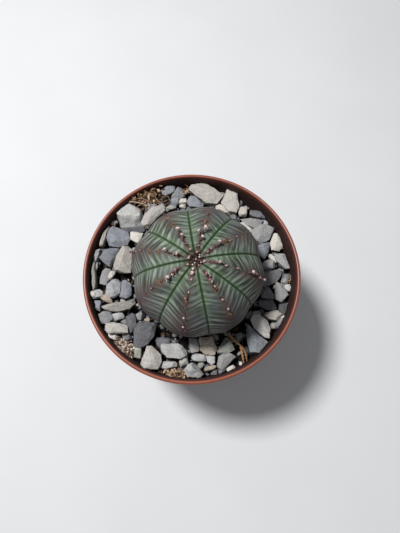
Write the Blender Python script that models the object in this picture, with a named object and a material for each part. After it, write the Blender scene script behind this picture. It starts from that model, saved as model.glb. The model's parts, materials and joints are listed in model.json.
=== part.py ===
"""A globe euphorbia in a small plastic nursery pot, under a dressing of broken stone.

The pot stands on z = 0 with its axis on the z axis. The plant, the stones and the dry bits
among them each rest where they lie, with a small gap to their neighbours. Lengths are in
metres except in the tables of stones and flowers, which say their own units.
"""

import math
import random

import bmesh
import bpy
import numpy as np
from mathutils import Matrix, Vector

MM = 0.001
GAP = 0.3 * MM  # between pieces that rest against each other
WELD = 0.001 * MM
AROUND = 48  # sides of everything turned: six for each rib

# Pot
POT_HEIGHT = 66.0 * MM
RIM_RADIUS = 42.5 * MM
BASE_RADIUS = 30.0 * MM
WALL = 1.1 * MM
LIP_WIDTH = 1.6 * MM
LIP_ROUND = 1.0 * MM
LIP_STEPS = 6
COLLAR_HEIGHT = 9.0 * MM
COLLAR_TAPER = 0.2 * MM
COLLAR_STEP = 1.2 * MM  # from the collar in to the body
FOOT_WIDTH = 2.6 * MM
FOOT_RECESS = 2.5 * MM
FLOOR_THICKNESS = 1.2 * MM
EDGE_ROUND = 0.5 * MM
FLOOR_FILLET = 2.0 * MM
DRAIN_HOLES = 6
DRAIN_RADIUS = 3.0 * MM
DRAIN_MARGIN = 4.0 * MM  # from the foot ring to the edge of a hole
DRAIN_SIDES = 12
FOOT_NOTCHES = 4
NOTCH_WIDTH = 5.0 * MM
NOTCH_HEIGHT = 1.4 * MM
NOTCH_START = 45.0  # degrees

# Plant
PLANT_X = 2.0 * MM
PLANT_Y = -1.6 * MM
GLOBE_RADIUS = 24.8 * MM
EQUATOR_ABOVE_RIM = 6.0 * MM
CROWN_RISE = 20.0 * MM  # equator to crown
CROWN_LEAN_X = -0.9 * MM  # of the crown, off the plant's axis
CROWN_LEAN_Y = -1.7 * MM
UNDERSIDE_DROP = 22.0 * MM  # depth of the ellipse that the underside follows
UNDERSIDE_END = 150.0  # degrees from the crown, where the globe runs into its neck
DIMPLE_DEPTH = 2.2 * MM
DIMPLE_RADIUS = 4.7 * MM
RIBS = 8
FURROW_START = 10.0  # degrees, of the first furrow
RIB_DEPTH = 0.045  # furrow depth as a share of the radius
NECK_RADIUS = 6.5 * MM
ROOT_RADIUS = 3.2 * MM
ROOT_DEPTH = 44.0 * MM  # root tip below the rim
NECK_DEPTH = 19.0 * MM  # neck below the rim

# Soil and stones
SOIL_BELOW_RIM = 9.5 * MM  # on the pot's axis
SOIL_SLOPE = 1.8  # degrees
SOIL_FALLS_TOWARD = -5.0  # degrees
SOIL_RINGS = 4
LITTER_POINTS = 15
LITTER_TILT = 9.0  # degrees, at most
LITTER_BOXINESS = 0.72  # 1 is round, less is squarer
STONE_FOOT = 0.75  # its underside's share of the outline
STONE_HEIGHT = 5.6 * MM  # over the soil, where the ring's outer edge is measured
LITTER_THICKNESS = 2.6 * MM
STONE_WELD_MM = 0.03  # corners this close are one
LITTER_SEED = 100
GOLDEN_TURN = 2.4  # radians between one corner and the next, so that none line up

# The stones' places are drawn for this ring, and follow when the ring changes.
DRAWN_INNER_RADIUS = 21.5 * MM
DRAWN_OUTER_RADIUS = 40.7 * MM

# tone, height of the outline over the soil, the outline's corners from above, and the top's
# corners with their heights over the soil, all in mm from the pot's axis
STONES = [
    ("cream", 5.3, [(-1.5, 37.5), (0, 39.6), (3.5, 40.6), (7, 40), (12.4, 35.2), (10, 31.6),
                    (5.5, 31.8), (1.5, 35.3)], [(3, 38.3, 6.2), (8.5, 35, 6)]),
    ("cream", 5.3, [(13, 35.3), (15, 37.3), (20, 36.8), (19.5, 31), (18.5, 27.5), (15.5, 27.8),
                    (12.5, 31.5)], [(15.5, 35, 6.2), (18.3, 34.5, 6), (16, 30, 5.6)]),
    ("slate", 3.9, [(25, 29.3), (28, 29.5), (32, 26), (29.5, 25.4), (26, 26), (24.5, 27)],
     [(28.3, 28.3, 4.8), (30.5, 26.5, 4.4)]),
    ("slate", 3.5, [(20.5, 24.8), (25, 25.4), (30, 24.6), (28, 22.6), (25.3, 20.8), (22.5, 22.5)],
     [(24.5, 24, 4.2), (27.5, 24.2, 4)]),
    ("pale_grey", 4.5, [(25.2, 19.5), (28.5, 22.3), (35.7, 21.8), (33, 18), (31.5, 15.5),
                        (27, 13.5), (25.3, 17.5)], [(28.6, 20.8, 6.2), (34, 21, 5.8), (27.4, 15.6, 5.6)]),
    ("cream", 4.3, [(33.8, 17.5), (35.5, 18.8), (37.2, 17), (37.5, 13), (36, 11), (33, 11.5),
                    (32.5, 14)], [(35.2, 16.5, 5.2), (35, 13.5, 5)]),
    ("blue_grey", 3.9, [(26.8, 12), (29, 14), (32.5, 14.5), (31.5, 10.5), (29.8, 7.5), (28.2, 9)],
     [(29, 12.6, 5), (30, 10, 4.8)]),
    ("pale_grey", 4.5, [(34, 9.3), (38, 9), (39, 6), (39.6, 3.4), (38, 3.2), (36, 5), (34.6, 6.6)],
     [(36.5, 8, 5.2), (37.6, 5.4, 5)]),
    ("mid_grey", 4.1, [(28.6, 1.6), (36, 2.2), (37, 1.4), (34, -2.5), (31, -4), (28.4, -4)],
     [(30, 0.6, 5), (34.4, 1, 4.8)]),
    ("blue_grey", 3.7, [(-2.5, 32), (-1, 35), (1, 34.8), (4.8, 32.3), (4, 30.4), (-1, 30.4)],
     [(0, 33.5, 4.6), (3, 32, 4.4)]),
    ("blue_grey", 4.1, [(-13.8, 39), (-12, 40), (-8, 40.2), (-7.4, 37.5), (-9.5, 36.6),
                        (-11.5, 35.2), (-14, 36.5)], [(-12, 38.4, 5.2), (-9, 38.8, 5)]),
    ("mid_grey", 3.9, [(-6.6, 39.2), (-5, 38.5), (-3.4, 35), (-6.5, 33.5), (-9.4, 34.2), (-7.2, 37)],
     [(-6, 37.4, 4.8), (-6.6, 35, 4.4)]),
    ("white", 5.1, [(-16, 30), (-13.2, 29.5), (-12, 27.5), (-15.5, 23.5), (-18.5, 20), (-21, 22),
                    (-19.5, 26)], [(-16.2, 29, 6), (-13.6, 27.6, 5.8), (-19.2, 25.4, 6.2), (-18.2, 21.4, 5.8), (-17, 26, 6.6)]),
    ("pale_grey", 2.8, [(-30.3, 30.3), (-27.5, 31.2), (-22.5, 28.8), (-21.3, 25.5), (-22.3, 22),
                        (-25, 20.6), (-30, 20.6), (-31.4, 22.8), (-32, 24.8), (-31.2, 27.5)],
     [(-29.8, 29.8, 5), (-27.5, 30.6, 5), (-23, 28.3, 5), (-31.2, 25, 6), (-22.4, 24.8, 5.8),
      (-29, 27, 6.4), (-24.4, 27, 6.2), (-30.2, 24.6, 6.5), (-23.8, 24.2, 6.2)]),
    ("slate", 3.5, [(-29, 19.9), (-25, 20.6), (-20.5, 21), (-20, 18.5), (-23.5, 18), (-27.5, 18.6)],
     [(-26, 19.6, 4.2), (-21.5, 19.8, 4)]),
    ("cream", 4.5, [(-37, 19.5), (-34.6, 20), (-35.3, 17), (-36.4, 12.5), (-37.8, 11.8),
                    (-37.6, 16)], [(-36.4, 18, 5.2), (-36.8, 14, 5)]),
    ("blue_grey", 4.1, [(-34.6, 18.5), (-33, 20), (-30.5, 19), (-26.4, 17.5), (-26, 15),
                        (-27, 12.5), (-30.5, 11.6), (-34, 12.2), (-34.8, 15)],
     [(-32.4, 17.4, 6), (-31, 13.6, 5.8), (-28.2, 16.2, 4.8)]),
    ("cream", 4.3, [(-25.5, 17.7), (-24.3, 18.1), (-20.5, 17.3), (-22.3, 13.3), (-25.5, 15.2)],
     [(-24, 16.8, 5), (-22.4, 16.2, 4.8)]),
    ("cream", 4.9, [(-28.3, 11), (-26.5, 11.8), (-24.8, 10), (-24.4, 5), (-24.8, 0.8), (-30, 0.5),
                  (-31.2, 3), (-30.5, 7)], [(-27.2, 9, 6.2), (-27.8, 5, 6.6), (-28.8, 2.4, 5.8)]),
    ("blue_grey", 4.1, [(-36.5, 9.6), (-33.5, 10.6), (-30, 10.2), (-31.4, 6), (-33, 3), (-36, 5),
                        (-37.4, 7)], [(-34.6, 8.8, 5.6), (-32, 8.6, 5.4), (-34, 5.6, 5.2)]),
    ("pale_grey", 4.3, [(-40.6, 10), (-37.6, 10.4), (-37.8, 8), (-38.8, 5.3), (-40.2, 5.3)],
     [(-39, 9, 5), (-39.2, 6.4, 4.8)]),
    ("slate", 3.7, [(-36.8, -0.5), (-35, 2.2), (-33, 1.6), (-32.8, -2.5), (-34, -4.5),
                    (-36.5, -3.8)], [(-35, 0.4, 4.6), (-34.4, -2.6, 4.2)]),
    ("green_grey", 4.5, [(-40.2, 4.6), (-39.2, 4.6), (-38.1, -5.2), (-39, -6.3), (-40, -1)],
     [(-39.5, 3, 5), (-38.9, -4, 4.8)]),
    ("blue_grey", 4.3, [(-33.8, -5), (-32, -3), (-29.6, -2.4), (-28.4, -4.2), (-28.8, -8),
                        (-31, -9.6), (-33.8, -8)], [(-31.6, -4.8, 5.8), (-30.6, -7.6, 5.4)]),
    ("blue_grey", 3.9, [(-28, -3), (-26.5, -2.6), (-24, -4.5), (-24.3, -8.5), (-26, -9.6),
                      (-28.3, -9.2)], [(-26.2, -4.4, 4.8), (-26, -8, 4.6)]),
    ("cream", 4.3, [(-34.6, -13.4), (-31, -12), (-25.5, -10.8), (-23, -12.4), (-24.5, -14),
                    (-28.5, -15), (-33.5, -14.8)], [(-30.6, -12.9, 5.8), (-25.6, -11.7, 5.6)]),
    ("mid_grey", 3.9, [(-36.2, -16.5), (-34.5, -15.4), (-31.5, -15.5), (-30.8, -18), (-32.8, -20),
                     (-35, -19.5)], [(-33.6, -16.6, 4.8), (-33, -18.4, 4.4)]),
    ("slate", 3.9, [(-25.6, -17.6), (-23.6, -15.9), (-22, -17), (-21.7, -21), (-23.5, -23.3),
                  (-25.1, -21.5)], [(-23.8, -18.2, 5), (-23.4, -21, 4.6)]),
    ("white", 5.3, [(-32.5, -20.2), (-30, -19.7), (-25.2, -20.7), (-24.8, -23.4), (-31.5, -23.8),
                    (-33, -22.5)], [(-31.4, -20.8, 6), (-27.3, -20.8, 6), (-27.1, -23, 5.8), (-31.6, -23, 5.8)]),
    ("slate", 3.9, [(-21, -20), (-18.5, -19.2), (-14, -20), (-15, -24.5), (-17, -27.4),
                  (-19.5, -28.6), (-22.8, -28), (-22.5, -23.5)],
     [(-19.8, -21.6, 5.6), (-16, -21.4, 5.6), (-20.6, -25.4, 4.8)]),
    ("white", 4.9, [(-17.5, -29), (-15.3, -28.7), (-12, -31.8), (-11.5, -34), (-12.8, -36.8),
                  (-18, -37), (-19.4, -34.5)], [(-15.8, -31, 6.8), (-15.4, -35, 6.2)]),
    ("pale_grey", 4.7, [(-12.3, -29.3), (-10.5, -27.7), (-5.5, -27.6), (-2.2, -29.8), (-2, -31.4),
                        (-4.5, -32.8), (-9, -32.5)], [(-9, -29.4, 5.8), (-4.8, -29.8, 5.8)]),
    ("blue_grey", 3, [(-3, -37.5), (-1.5, -35.2), (1, -34.6), (3, -36.5), (4.3, -38.5),
                      (2.5, -39.5), (-1.5, -39.5)], [(0.9, -36.4, 6)]),
    ("slate", 3.7, [(-1, -25.6), (2.6, -25.6), (2.6, -30), (0, -30.6), (-1.2, -28.5)],
     [(0.8, -27, 4.4), (1.4, -29.2, 4)]),
    ("beige", 4.5, [(3.2, -25.2), (7.8, -25), (9.4, -29.5), (8.5, -31.4), (5, -31.2), (3.1, -29.6)],
     [(5.6, -26.8, 5.4), (7.4, -29, 5.6)]),
    ("green_grey", 3.9, [(13, -24.6), (15, -26), (17.8, -28.5), (15, -30.2), (11, -31), (9.9, -31),
                       (10.4, -29)], [(13.4, -26.4, 5.4), (14.4, -28.6, 5)]),
    ("slate", 3.9, [(12, -31.4), (15.5, -30.6), (17.5, -31.6), (14, -34.5), (12, -36.5),
                  (10.5, -37.4), (9.8, -35), (10.5, -32.5)], [(12, -33, 5.2), (15, -32, 4.8), (11.2, -35.4, 4.6)]),
    ("pale_grey", 3.5, [(5.6, -32), (8.6, -32), (8.7, -34.5), (7.5, -35.3), (6, -34)],
     [(7.2, -33, 4)]),
    ("blue_grey", 4.1, [(21.6, -20), (23.2, -21.4), (25.5, -23.8), (29, -26.8), (27.5, -28.5),
                        (24.8, -31.5), (22.6, -30.8), (21.4, -25)],
     [(22.4, -23, 5.6), (24.6, -26, 5.8), (23.6, -29, 4.8)]),
    ("pale_grey", 4.9, [(26.5, -16.2), (29, -18.5), (30.5, -22), (30, -25), (28, -24.5),
                      (24.5, -21.5), (23, -18), (24.5, -16.3)], [(26.6, -18.4, 6.4), (28.4, -22.4, 6.2)]),
    ("cream", 4.3, [(33.5, -14.2), (35.5, -15.8), (33.5, -18.2), (30.5, -17.5), (28.4, -16),
                    (29.2, -15)], [(33, -15.6, 5), (31, -16, 4.8)]),
    ("mid_grey", 3.9, [(29.4, -4.4), (31.5, -5), (33.3, -8.5), (32.5, -9.5), (27.8, -9), (28.2, -6)],
     [(30, -5.8, 5), (31, -8, 4.6)]),
    ("slate", 3.7, [(28, -9.8), (33, -10), (34, -12), (33, -14.3), (30, -14), (26.2, -11.8),
                    (26.5, -10.5)], [(29.6, -11, 4.8), (31.8, -12.4, 4.4)]),
    ("pale_grey", 4.5, [(33.7, -2.8), (36.5, -3.8), (38.5, -8), (36, -10.6), (33.3, -9.3),
                        (33.7, -6)], [(35.4, -5, 5.4), (35.8, -8.4, 5.2)]),
    ("slate", 3.7, [(35, -11.4), (39.3, -11.5), (37.5, -14.5), (36, -16), (34.4, -13.5)],
     [(36.4, -12.4, 4.4), (36.2, -14, 4.2)]),
]
# azimuth in degrees, distance from the axis, length and width in mm, turn in degrees, name
LITTER = [
    (119.5, 38.6, 9.0, 6.0, 25, "bark_litter"),
    (227.5, 38.4, 9.0, 5.4, 140, "grit_patch"),
]
# azimuth in degrees, distance from the axis and height over the soil in mm
DRIED_ROOT = [(301, 28.5, 4.2), (302.7, 31.8, 5.0), (303.6, 34.6, 4.4), (301.2, 38.6, 3.0)]
DRIED_ROOT_RADIUS = 0.65 * MM

# Flowers: crown angle in degrees, length and thickness in mm, outward lean in degrees
FLOWERS = [
    (20.0, 2.6, 0.9, 30),
    (24.0, 3.4, 1.1, 35),
    (26.0, 3.0, 1.0, 25),
    (23.0, 2.8, 1.0, 30),
    (21.0, 3.2, 1.0, 35),
    (12.5, 2.4, 1.0, 25),
    (18.0, 2.8, 0.9, 30),
    (15.5, 2.6, 0.9, 30),
]
FLOWER_SIDES = 8
BUDS_RADIUS = 2.3 * MM
BUDS_HEIGHT = 1.1 * MM
BUD_LOBES = 5
BUD_LOBE_DEPTH = 0.22
BUDS_SEAT = 1.3  # their widest reach over their radius

TONES = {
    "white": (0.62, 0.59, 0.55),
    "cream": (0.52, 0.48, 0.42),
    "beige": (0.34, 0.28, 0.23),
    "pale_grey": (0.40, 0.39, 0.38),
    "mid_grey": (0.20, 0.19, 0.20),
    "green_grey": (0.27, 0.28, 0.25),
    "blue_grey": (0.25, 0.28, 0.32),
    "slate": (0.09, 0.09, 0.11),
}

# Worked out from the sizes above
FLOOR_TOP = FOOT_RECESS + FLOOR_THICKNESS
COLLAR_BOTTOM = POT_HEIGHT - COLLAR_HEIGHT
LIP_BOTTOM = POT_HEIGHT - LIP_ROUND
FOOT_INNER = BASE_RADIUS - FOOT_WIDTH
EQUATOR_HEIGHT = POT_HEIGHT + EQUATOR_ABOVE_RIM
FLAT_SIDE = math.cos(math.pi / AROUND)  # a turned polygon's flats against its corners
SOIL_CENTRE_HEIGHT = POT_HEIGHT - SOIL_BELOW_RIM


def inner_radius(height):
    """Radius of the pot's inner wall: a cone up to the collar, and a steeper one inside it."""
    foot = BASE_RADIUS - WALL
    kink = RIM_RADIUS - COLLAR_TAPER - COLLAR_STEP - WALL
    if height < COLLAR_BOTTOM:
        return foot + (kink - foot) * height / COLLAR_BOTTOM
    lip = RIM_RADIUS - LIP_WIDTH
    return kink + (lip - kink) * (height - COLLAR_BOTTOM) / (LIP_BOTTOM - COLLAR_BOTTOM)


def soil_height(x, y):
    """Height of the soil's sloping surface."""
    toward = math.radians(SOIL_FALLS_TOWARD)
    along = x * math.cos(toward) + y * math.sin(toward)
    return SOIL_CENTRE_HEIGHT - math.tan(math.radians(SOIL_SLOPE)) * along


def soil_plane():
    """A point on the soil's surface and its upward normal."""
    toward = math.radians(SOIL_FALLS_TOWARD)
    slope = math.radians(SOIL_SLOPE)
    tip = math.sin(slope)
    normal = Vector((tip * math.cos(toward), tip * math.sin(toward), math.cos(slope)))
    return Vector((0, 0, SOIL_CENTRE_HEIGHT)), normal


def clear_scene():
    for thing in list(bpy.data.objects):
        bpy.data.objects.remove(thing, do_unlink=True)


def make_material(name, colour, roughness):
    material = bpy.data.materials.new(name)
    material.use_nodes = True
    shader = material.node_tree.nodes["Principled BSDF"]
    shader.inputs["Base Color"].default_value = (*colour, 1.0)
    shader.inputs["Roughness"].default_value = roughness
    shader.inputs["Metallic"].default_value = 0.0
    material.diffuse_color = (*colour, 1.0)
    return material


def make_object(name, mesh_source, material=None, smooth_angle=None):
    """Turn a bmesh into a named object, with its faces pointing out."""
    bmesh.ops.recalc_face_normals(mesh_source, faces=mesh_source.faces[:])
    mesh = bpy.data.meshes.new(name)
    mesh_source.to_mesh(mesh)
    mesh_source.free()
    piece = bpy.data.objects.new(name, mesh)
    bpy.context.collection.objects.link(piece)
    if material:
        mesh.materials.append(material)
    if smooth_angle:
        mesh.shade_smooth()
        mesh.set_sharp_from_angle(angle=math.radians(smooth_angle))
    return piece


def as_cutter(cutter, target):
    """Cut the target with the cutter, which is kept as a hidden guide."""
    cutter.hide_render = True
    cutter.display_type = "WIRE"
    cut = target.modifiers.new(cutter.name, "BOOLEAN")
    cut.operation = "DIFFERENCE"
    cut.solver = "EXACT"
    cut.object = cutter


def turned(profile, sides=AROUND):
    """Spin a closed (radius, height) profile about the z axis."""
    shape = bmesh.new()
    corners = [shape.verts.new((radius, 0, height)) for radius, height in profile]
    edges = [shape.edges.new(pair) for pair in zip(corners, corners[1:])]
    bmesh.ops.spin(
        shape,
        geom=corners + edges,
        cent=(0, 0, 0),
        axis=(0, 0, 1),
        angle=2 * math.pi,
        steps=sides,
        use_merge=True,
    )
    bmesh.ops.remove_doubles(shape, verts=shape.verts[:], dist=WELD)
    return shape


# Pot


def lip_curve():
    """The rounded top of the rim, from its outer side over to its inner side."""
    middle = RIM_RADIUS - LIP_WIDTH / 2
    points = []
    for step in range(LIP_STEPS + 1):
        angle = math.pi * step / LIP_STEPS
        radius = middle + LIP_WIDTH / 2 * math.cos(angle)
        points.append((radius, LIP_BOTTOM + LIP_ROUND * math.sin(angle)))
    return points


def pot_profile():
    underside = [
        (0, FOOT_RECESS),
        (FOOT_INNER, FOOT_RECESS),
        (FOOT_INNER, 0),
        (BASE_RADIUS - EDGE_ROUND, 0),
        (inner_radius(EDGE_ROUND) + WALL, EDGE_ROUND),
    ]
    collar = [
        (inner_radius(COLLAR_BOTTOM) + WALL, COLLAR_BOTTOM),
        (RIM_RADIUS - COLLAR_TAPER, COLLAR_BOTTOM),
    ]
    inside = [
        (inner_radius(COLLAR_BOTTOM), COLLAR_BOTTOM),
        (inner_radius(FLOOR_TOP + FLOOR_FILLET), FLOOR_TOP + FLOOR_FILLET),
        (inner_radius(FLOOR_TOP) - FLOOR_FILLET, FLOOR_TOP),
        (0, FLOOR_TOP),
    ]
    return underside + collar + lip_curve() + inside


def drain_cutter():
    """Round holes through the floor, and notches across the foot ring."""
    shape = bmesh.new()
    ring = FOOT_INNER - DRAIN_MARGIN - DRAIN_RADIUS
    places = [Vector((0, 0, FLOOR_TOP / 2))]
    for hole in range(DRAIN_HOLES):
        angle = 2 * math.pi * hole / DRAIN_HOLES
        places.append(Vector((ring * math.cos(angle), ring * math.sin(angle), FLOOR_TOP / 2)))
    for place in places:
        bmesh.ops.create_cone(
            shape,
            cap_ends=True,
            segments=DRAIN_SIDES,
            radius1=DRAIN_RADIUS,
            radius2=DRAIN_RADIUS,
            depth=FLOOR_TOP * 2,
            matrix=Matrix.Translation(place),
        )
    for notch in range(FOOT_NOTCHES):
        angle = math.radians(NOTCH_START + 360 * notch / FOOT_NOTCHES)
        size = (FOOT_WIDTH * 3, NOTCH_WIDTH, NOTCH_HEIGHT * 2)
        middle = Matrix.Translation((BASE_RADIUS - FOOT_WIDTH / 2, 0, 0))
        placed = Matrix.Rotation(angle, 4, "Z") @ middle @ Matrix.Diagonal((*size, 1))
        bmesh.ops.create_cube(shape, size=1, matrix=placed)
    return make_object("drain_cutter", shape)


def make_pot():
    plastic = make_material("terracotta_plastic", (0.33, 0.13, 0.085), 0.45)
    pot = make_object("pot", turned(pot_profile()), plastic, smooth_angle=35)
    as_cutter(drain_cutter(), pot)


# Plant


def rib_factor(azimuth, fade):
    """The radius against a crest's: 1 on a crest, less by the rib depth in a furrow."""
    wave = 0.5 + 0.5 * math.cos(azimuth * RIBS)
    return 1 - RIB_DEPTH * fade * wave * wave


def globe_point(crown_angle, azimuth):
    """A point on the globe, from its angle off the crown and its azimuth from a furrow."""
    angle = math.radians(crown_angle)
    rise = CROWN_RISE if crown_angle < 90 else UNDERSIDE_DROP
    flat_radius = GLOBE_RADIUS * math.sin(angle)
    dimple = DIMPLE_DEPTH * math.exp(-((flat_radius / DIMPLE_RADIUS) ** 2))
    past_equator = max(crown_angle - 90, 0) / (UNDERSIDE_END - 90)
    radius = flat_radius * rib_factor(azimuth, 1 - past_equator)
    return Vector(
        (
            radius * math.cos(azimuth),
            radius * math.sin(azimuth),
            EQUATOR_HEIGHT + rise * math.cos(angle) - dimple,
        )
    )


def plant_frame():
    """The plant's own axis, turned so that its first furrow is at azimuth 0."""
    turn = Matrix.Rotation(math.radians(FURROW_START), 4, "Z")
    return Matrix.Translation((PLANT_X, PLANT_Y, 0)) @ turn


def leaned(point):
    """Where a point on the plant comes in the pot, with the crown leaning a little."""
    placed = plant_frame() @ point
    rise = max(point.z - EQUATOR_HEIGHT, 0) / CROWN_RISE
    return placed + Vector((CROWN_LEAN_X, CROWN_LEAN_Y, 0)) * rise * rise


def stem_shape(margin=0.0):
    """Globe, neck and taproot as one turned and ribbed solid, larger by the margin."""
    crown_angles = [0, 4, 8, 12, 18, 25, 33, 42, 52, 62, 72, 82, 90, 101, 113, 125, 137]
    crown_angles.append(UNDERSIDE_END)
    profile = []
    for crown_angle in crown_angles:
        place = globe_point(crown_angle, math.pi / RIBS)
        profile.append((math.hypot(place.x, place.y), place.z))
    tip = POT_HEIGHT - ROOT_DEPTH
    neck = POT_HEIGHT - NECK_DEPTH
    profile.append((NECK_RADIUS, neck))
    profile.append((ROOT_RADIUS, (neck + tip) / 2))
    profile.append((ROOT_RADIUS / 2, tip + ROOT_RADIUS / 2))
    profile.append((0, tip))
    shape = turned(profile)
    underside = EQUATOR_HEIGHT + UNDERSIDE_DROP * math.cos(math.radians(UNDERSIDE_END))
    for vertex in shape.verts:
        radius = math.hypot(vertex.co.x, vertex.co.y)
        azimuth = math.atan2(vertex.co.y, vertex.co.x)
        below = (EQUATOR_HEIGHT - vertex.co.z) / (EQUATOR_HEIGHT - underside)
        fade = 1 - min(max(below, 0), 1)
        grown = radius * rib_factor(azimuth, fade) + (margin if radius > WELD else 0)
        vertex.co.x = grown * math.cos(azimuth)
        vertex.co.y = grown * math.sin(azimuth)
        if vertex.co.z < EQUATOR_HEIGHT:
            vertex.co.z -= margin
        vertex.co = leaned(vertex.co)
    return shape


def make_stem():
    skin = make_material("stem_skin", (0.14, 0.16, 0.12), 0.6)
    return make_object("stem", stem_shape(), skin, smooth_angle=50)


def make_crown_buds():
    """A low lobed cushion of buds in the crown's dimple."""
    shape = bmesh.new()
    bmesh.ops.create_icosphere(shape, subdivisions=2, radius=1)
    for vertex in shape.verts:
        azimuth = math.atan2(vertex.co.y, vertex.co.x)
        lobe = 1 + BUD_LOBE_DEPTH * math.cos(BUD_LOBES * azimuth)
        vertex.co.x *= BUDS_RADIUS * lobe
        vertex.co.y *= BUDS_RADIUS * lobe
        vertex.co.z *= BUDS_HEIGHT / 2
    seat_angle = math.degrees(math.asin(BUDS_RADIUS * BUDS_SEAT / GLOBE_RADIUS))
    edge = globe_point(seat_angle, math.pi / RIBS)
    middle = leaned(Vector((0, 0, edge.z + BUDS_HEIGHT / 2 + GAP)))
    bmesh.ops.translate(shape, vec=middle, verts=shape.verts[:])
    buds = make_material("flower_buds", (0.42, 0.24, 0.20), 0.6)
    make_object("crown_buds", shape, buds, smooth_angle=50)


def flower_profile(length, thickness):
    """A stub of a stalk that ends in a small cup."""
    half = thickness / 2
    return [
        (0, 0),
        (half * 0.8, 0),
        (half * 0.55, length * 0.35),
        (half, length * 0.75),
        (half * 0.8, length * 0.95),
        (0, length),
    ]


def make_flowers():
    """One dried flower on each rib's crest, standing just off the skin."""
    dry_flower = make_material("dry_flower", (0.45, 0.27, 0.22), 0.7)
    for rib, (crown_angle, length_mm, thickness_mm, lean) in enumerate(FLOWERS):
        length = length_mm * MM
        half = thickness_mm * MM / 2
        azimuth = 2 * math.pi * (rib + 0.5) / RIBS
        place = globe_point(crown_angle, azimuth)
        # The skin's outward normal, from the ellipse that the crown follows
        angle = math.radians(crown_angle)
        outward = math.atan2(math.sin(angle) * CROWN_RISE, math.cos(angle) * GLOBE_RADIUS)
        sideways = math.sin(outward)
        normal = Vector(
            (sideways * math.cos(azimuth), sideways * math.sin(azimuth), math.cos(outward))
        )
        tilt = outward + math.radians(lean)
        stand = GAP + half * math.sin(math.radians(lean)) + half * (1 - math.cos(outward))
        aim = Matrix.Rotation(azimuth, 4, "Z") @ Matrix.Rotation(tilt, 4, "Y")
        shape = turned(flower_profile(length, thickness_mm * MM), FLOWER_SIDES)
        turn = Matrix.Rotation(math.radians(FURROW_START), 4, "Z")
        placed = Matrix.Translation(leaned(place + normal * stand)) @ turn @ aim
        bmesh.ops.transform(shape, matrix=placed, verts=shape.verts[:])
        make_object(f"flower_{rib + 1}", shape, dry_flower, smooth_angle=50)


# Soil


def make_soil():
    """The potting mix, with a sloping top and a socket for the plant's underside."""
    bottom = FLOOR_TOP + GAP
    corner = bottom + FLOOR_FILLET
    # Turned first with each ring's number as its height, then placed ring by ring
    rings = [(1, 2 + ring) for ring in range(SOIL_RINGS)]
    shape = turned([(0, 0), (1, 0)] + rings + [(0, 2 + SOIL_RINGS)])
    for vertex in shape.verts:
        azimuth = math.atan2(vertex.co.y, vertex.co.x)
        level = vertex.co.z
        if math.hypot(vertex.co.x, vertex.co.y) < 0.5:
            vertex.co.z = bottom if level < 1 else SOIL_CENTRE_HEIGHT
            continue
        if level < 1:
            radius = inner_radius(bottom) - FLOOR_FILLET - GAP
            height = bottom
        else:
            share = round(level - 2) / (SOIL_RINGS - 1)
            height = corner
            for _settle in range(6):
                radius = inner_radius(height) - GAP
                x, y = radius * math.cos(azimuth), radius * math.sin(azimuth)
                height = corner + share * (soil_height(x, y) - corner)
        vertex.co = (radius * math.cos(azimuth), radius * math.sin(azimuth), height)
    mix = make_material("potting_mix", (0.035, 0.025, 0.018), 0.95)
    soil = make_object("soil", shape, mix)
    as_cutter(make_object("socket_cutter", stem_shape(GAP)), soil)


# Stones


def hull_of(points):
    """A bmesh of only the points' convex hull, in millimetres, which suit the operators."""
    shape = bmesh.new()
    for point in points:
        shape.verts.new(point / MM)
    bmesh.ops.remove_doubles(shape, verts=shape.verts[:], dist=STONE_WELD_MM)
    result = bmesh.ops.convex_hull(shape, input=shape.verts[:])
    spare = {part for part in result["geom_interior"] + result["geom_unused"]
             if isinstance(part, bmesh.types.BMVert)}
    bmesh.ops.delete(shape, geom=list(spare), context="VERTS")
    return shape


def trimmed(points, plane_point, normal):
    """The corners of the points' hull, without what lies on the normal's side of the plane."""
    shape = hull_of(points)
    bmesh.ops.bisect_plane(
        shape,
        geom=shape.verts[:] + shape.edges[:] + shape.faces[:],
        plane_co=plane_point / MM,
        plane_no=normal,
        clear_outer=True,
    )
    corners = [vertex.co * MM for vertex in shape.verts]
    shape.free()
    return corners


def spread_directions():
    """Directions over half a sphere, on which two hulls are tried for a way apart."""
    directions = []
    for elevation, count in [(0, 60), (15, 36), (30, 36), (50, 24), (-15, 36), (-30, 36), (-50, 24), (90, 1)]:
        for step in range(count):
            azimuth = 2 * math.pi * step / count
            flat = math.cos(math.radians(elevation))
            directions.append((flat * math.cos(azimuth), flat * math.sin(azimuth),
                               math.sin(math.radians(elevation))))
    return np.array(directions)


DIRECTIONS = spread_directions()


def shallowest_overlap(first, second):
    """How far two hulls overlap, the direction where that is least, and its two limits."""
    along_first = DIRECTIONS @ np.array(first).T
    along_second = DIRECTIONS @ np.array(second).T
    overlap = along_first.max(axis=1) - along_second.min(axis=1)
    best = int(overlap.argmin())
    low = float(along_second[best].min())
    high = float(along_first[best].max())
    return overlap[best], Vector(DIRECTIONS[best]), low, high


def settle_apart(pieces):
    """Trim each overlapping pair by a plane halfway through the overlap."""
    names = list(pieces)
    for index, first in enumerate(names):
        for second in names[index + 1:]:
            overlap, direction, low, high = shallowest_overlap(pieces[first], pieces[second])
            if overlap < -GAP:
                continue
            middle = direction * ((low + high) / 2)
            near = middle - direction * GAP / 2
            far = middle + direction * GAP / 2
            pieces[first] = trimmed(pieces[first], near, direction)
            pieces[second] = trimmed(pieces[second], far, -direction)


def keep_off(pieces, obstacle):
    """Trim every piece that reaches into the obstacle's hull, which stays whole."""
    for name in pieces:
        overlap, direction, low, _high = shallowest_overlap(pieces[name], obstacle)
        if overlap > -GAP:
            pieces[name] = trimmed(pieces[name], direction * (low - GAP), direction)


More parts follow.
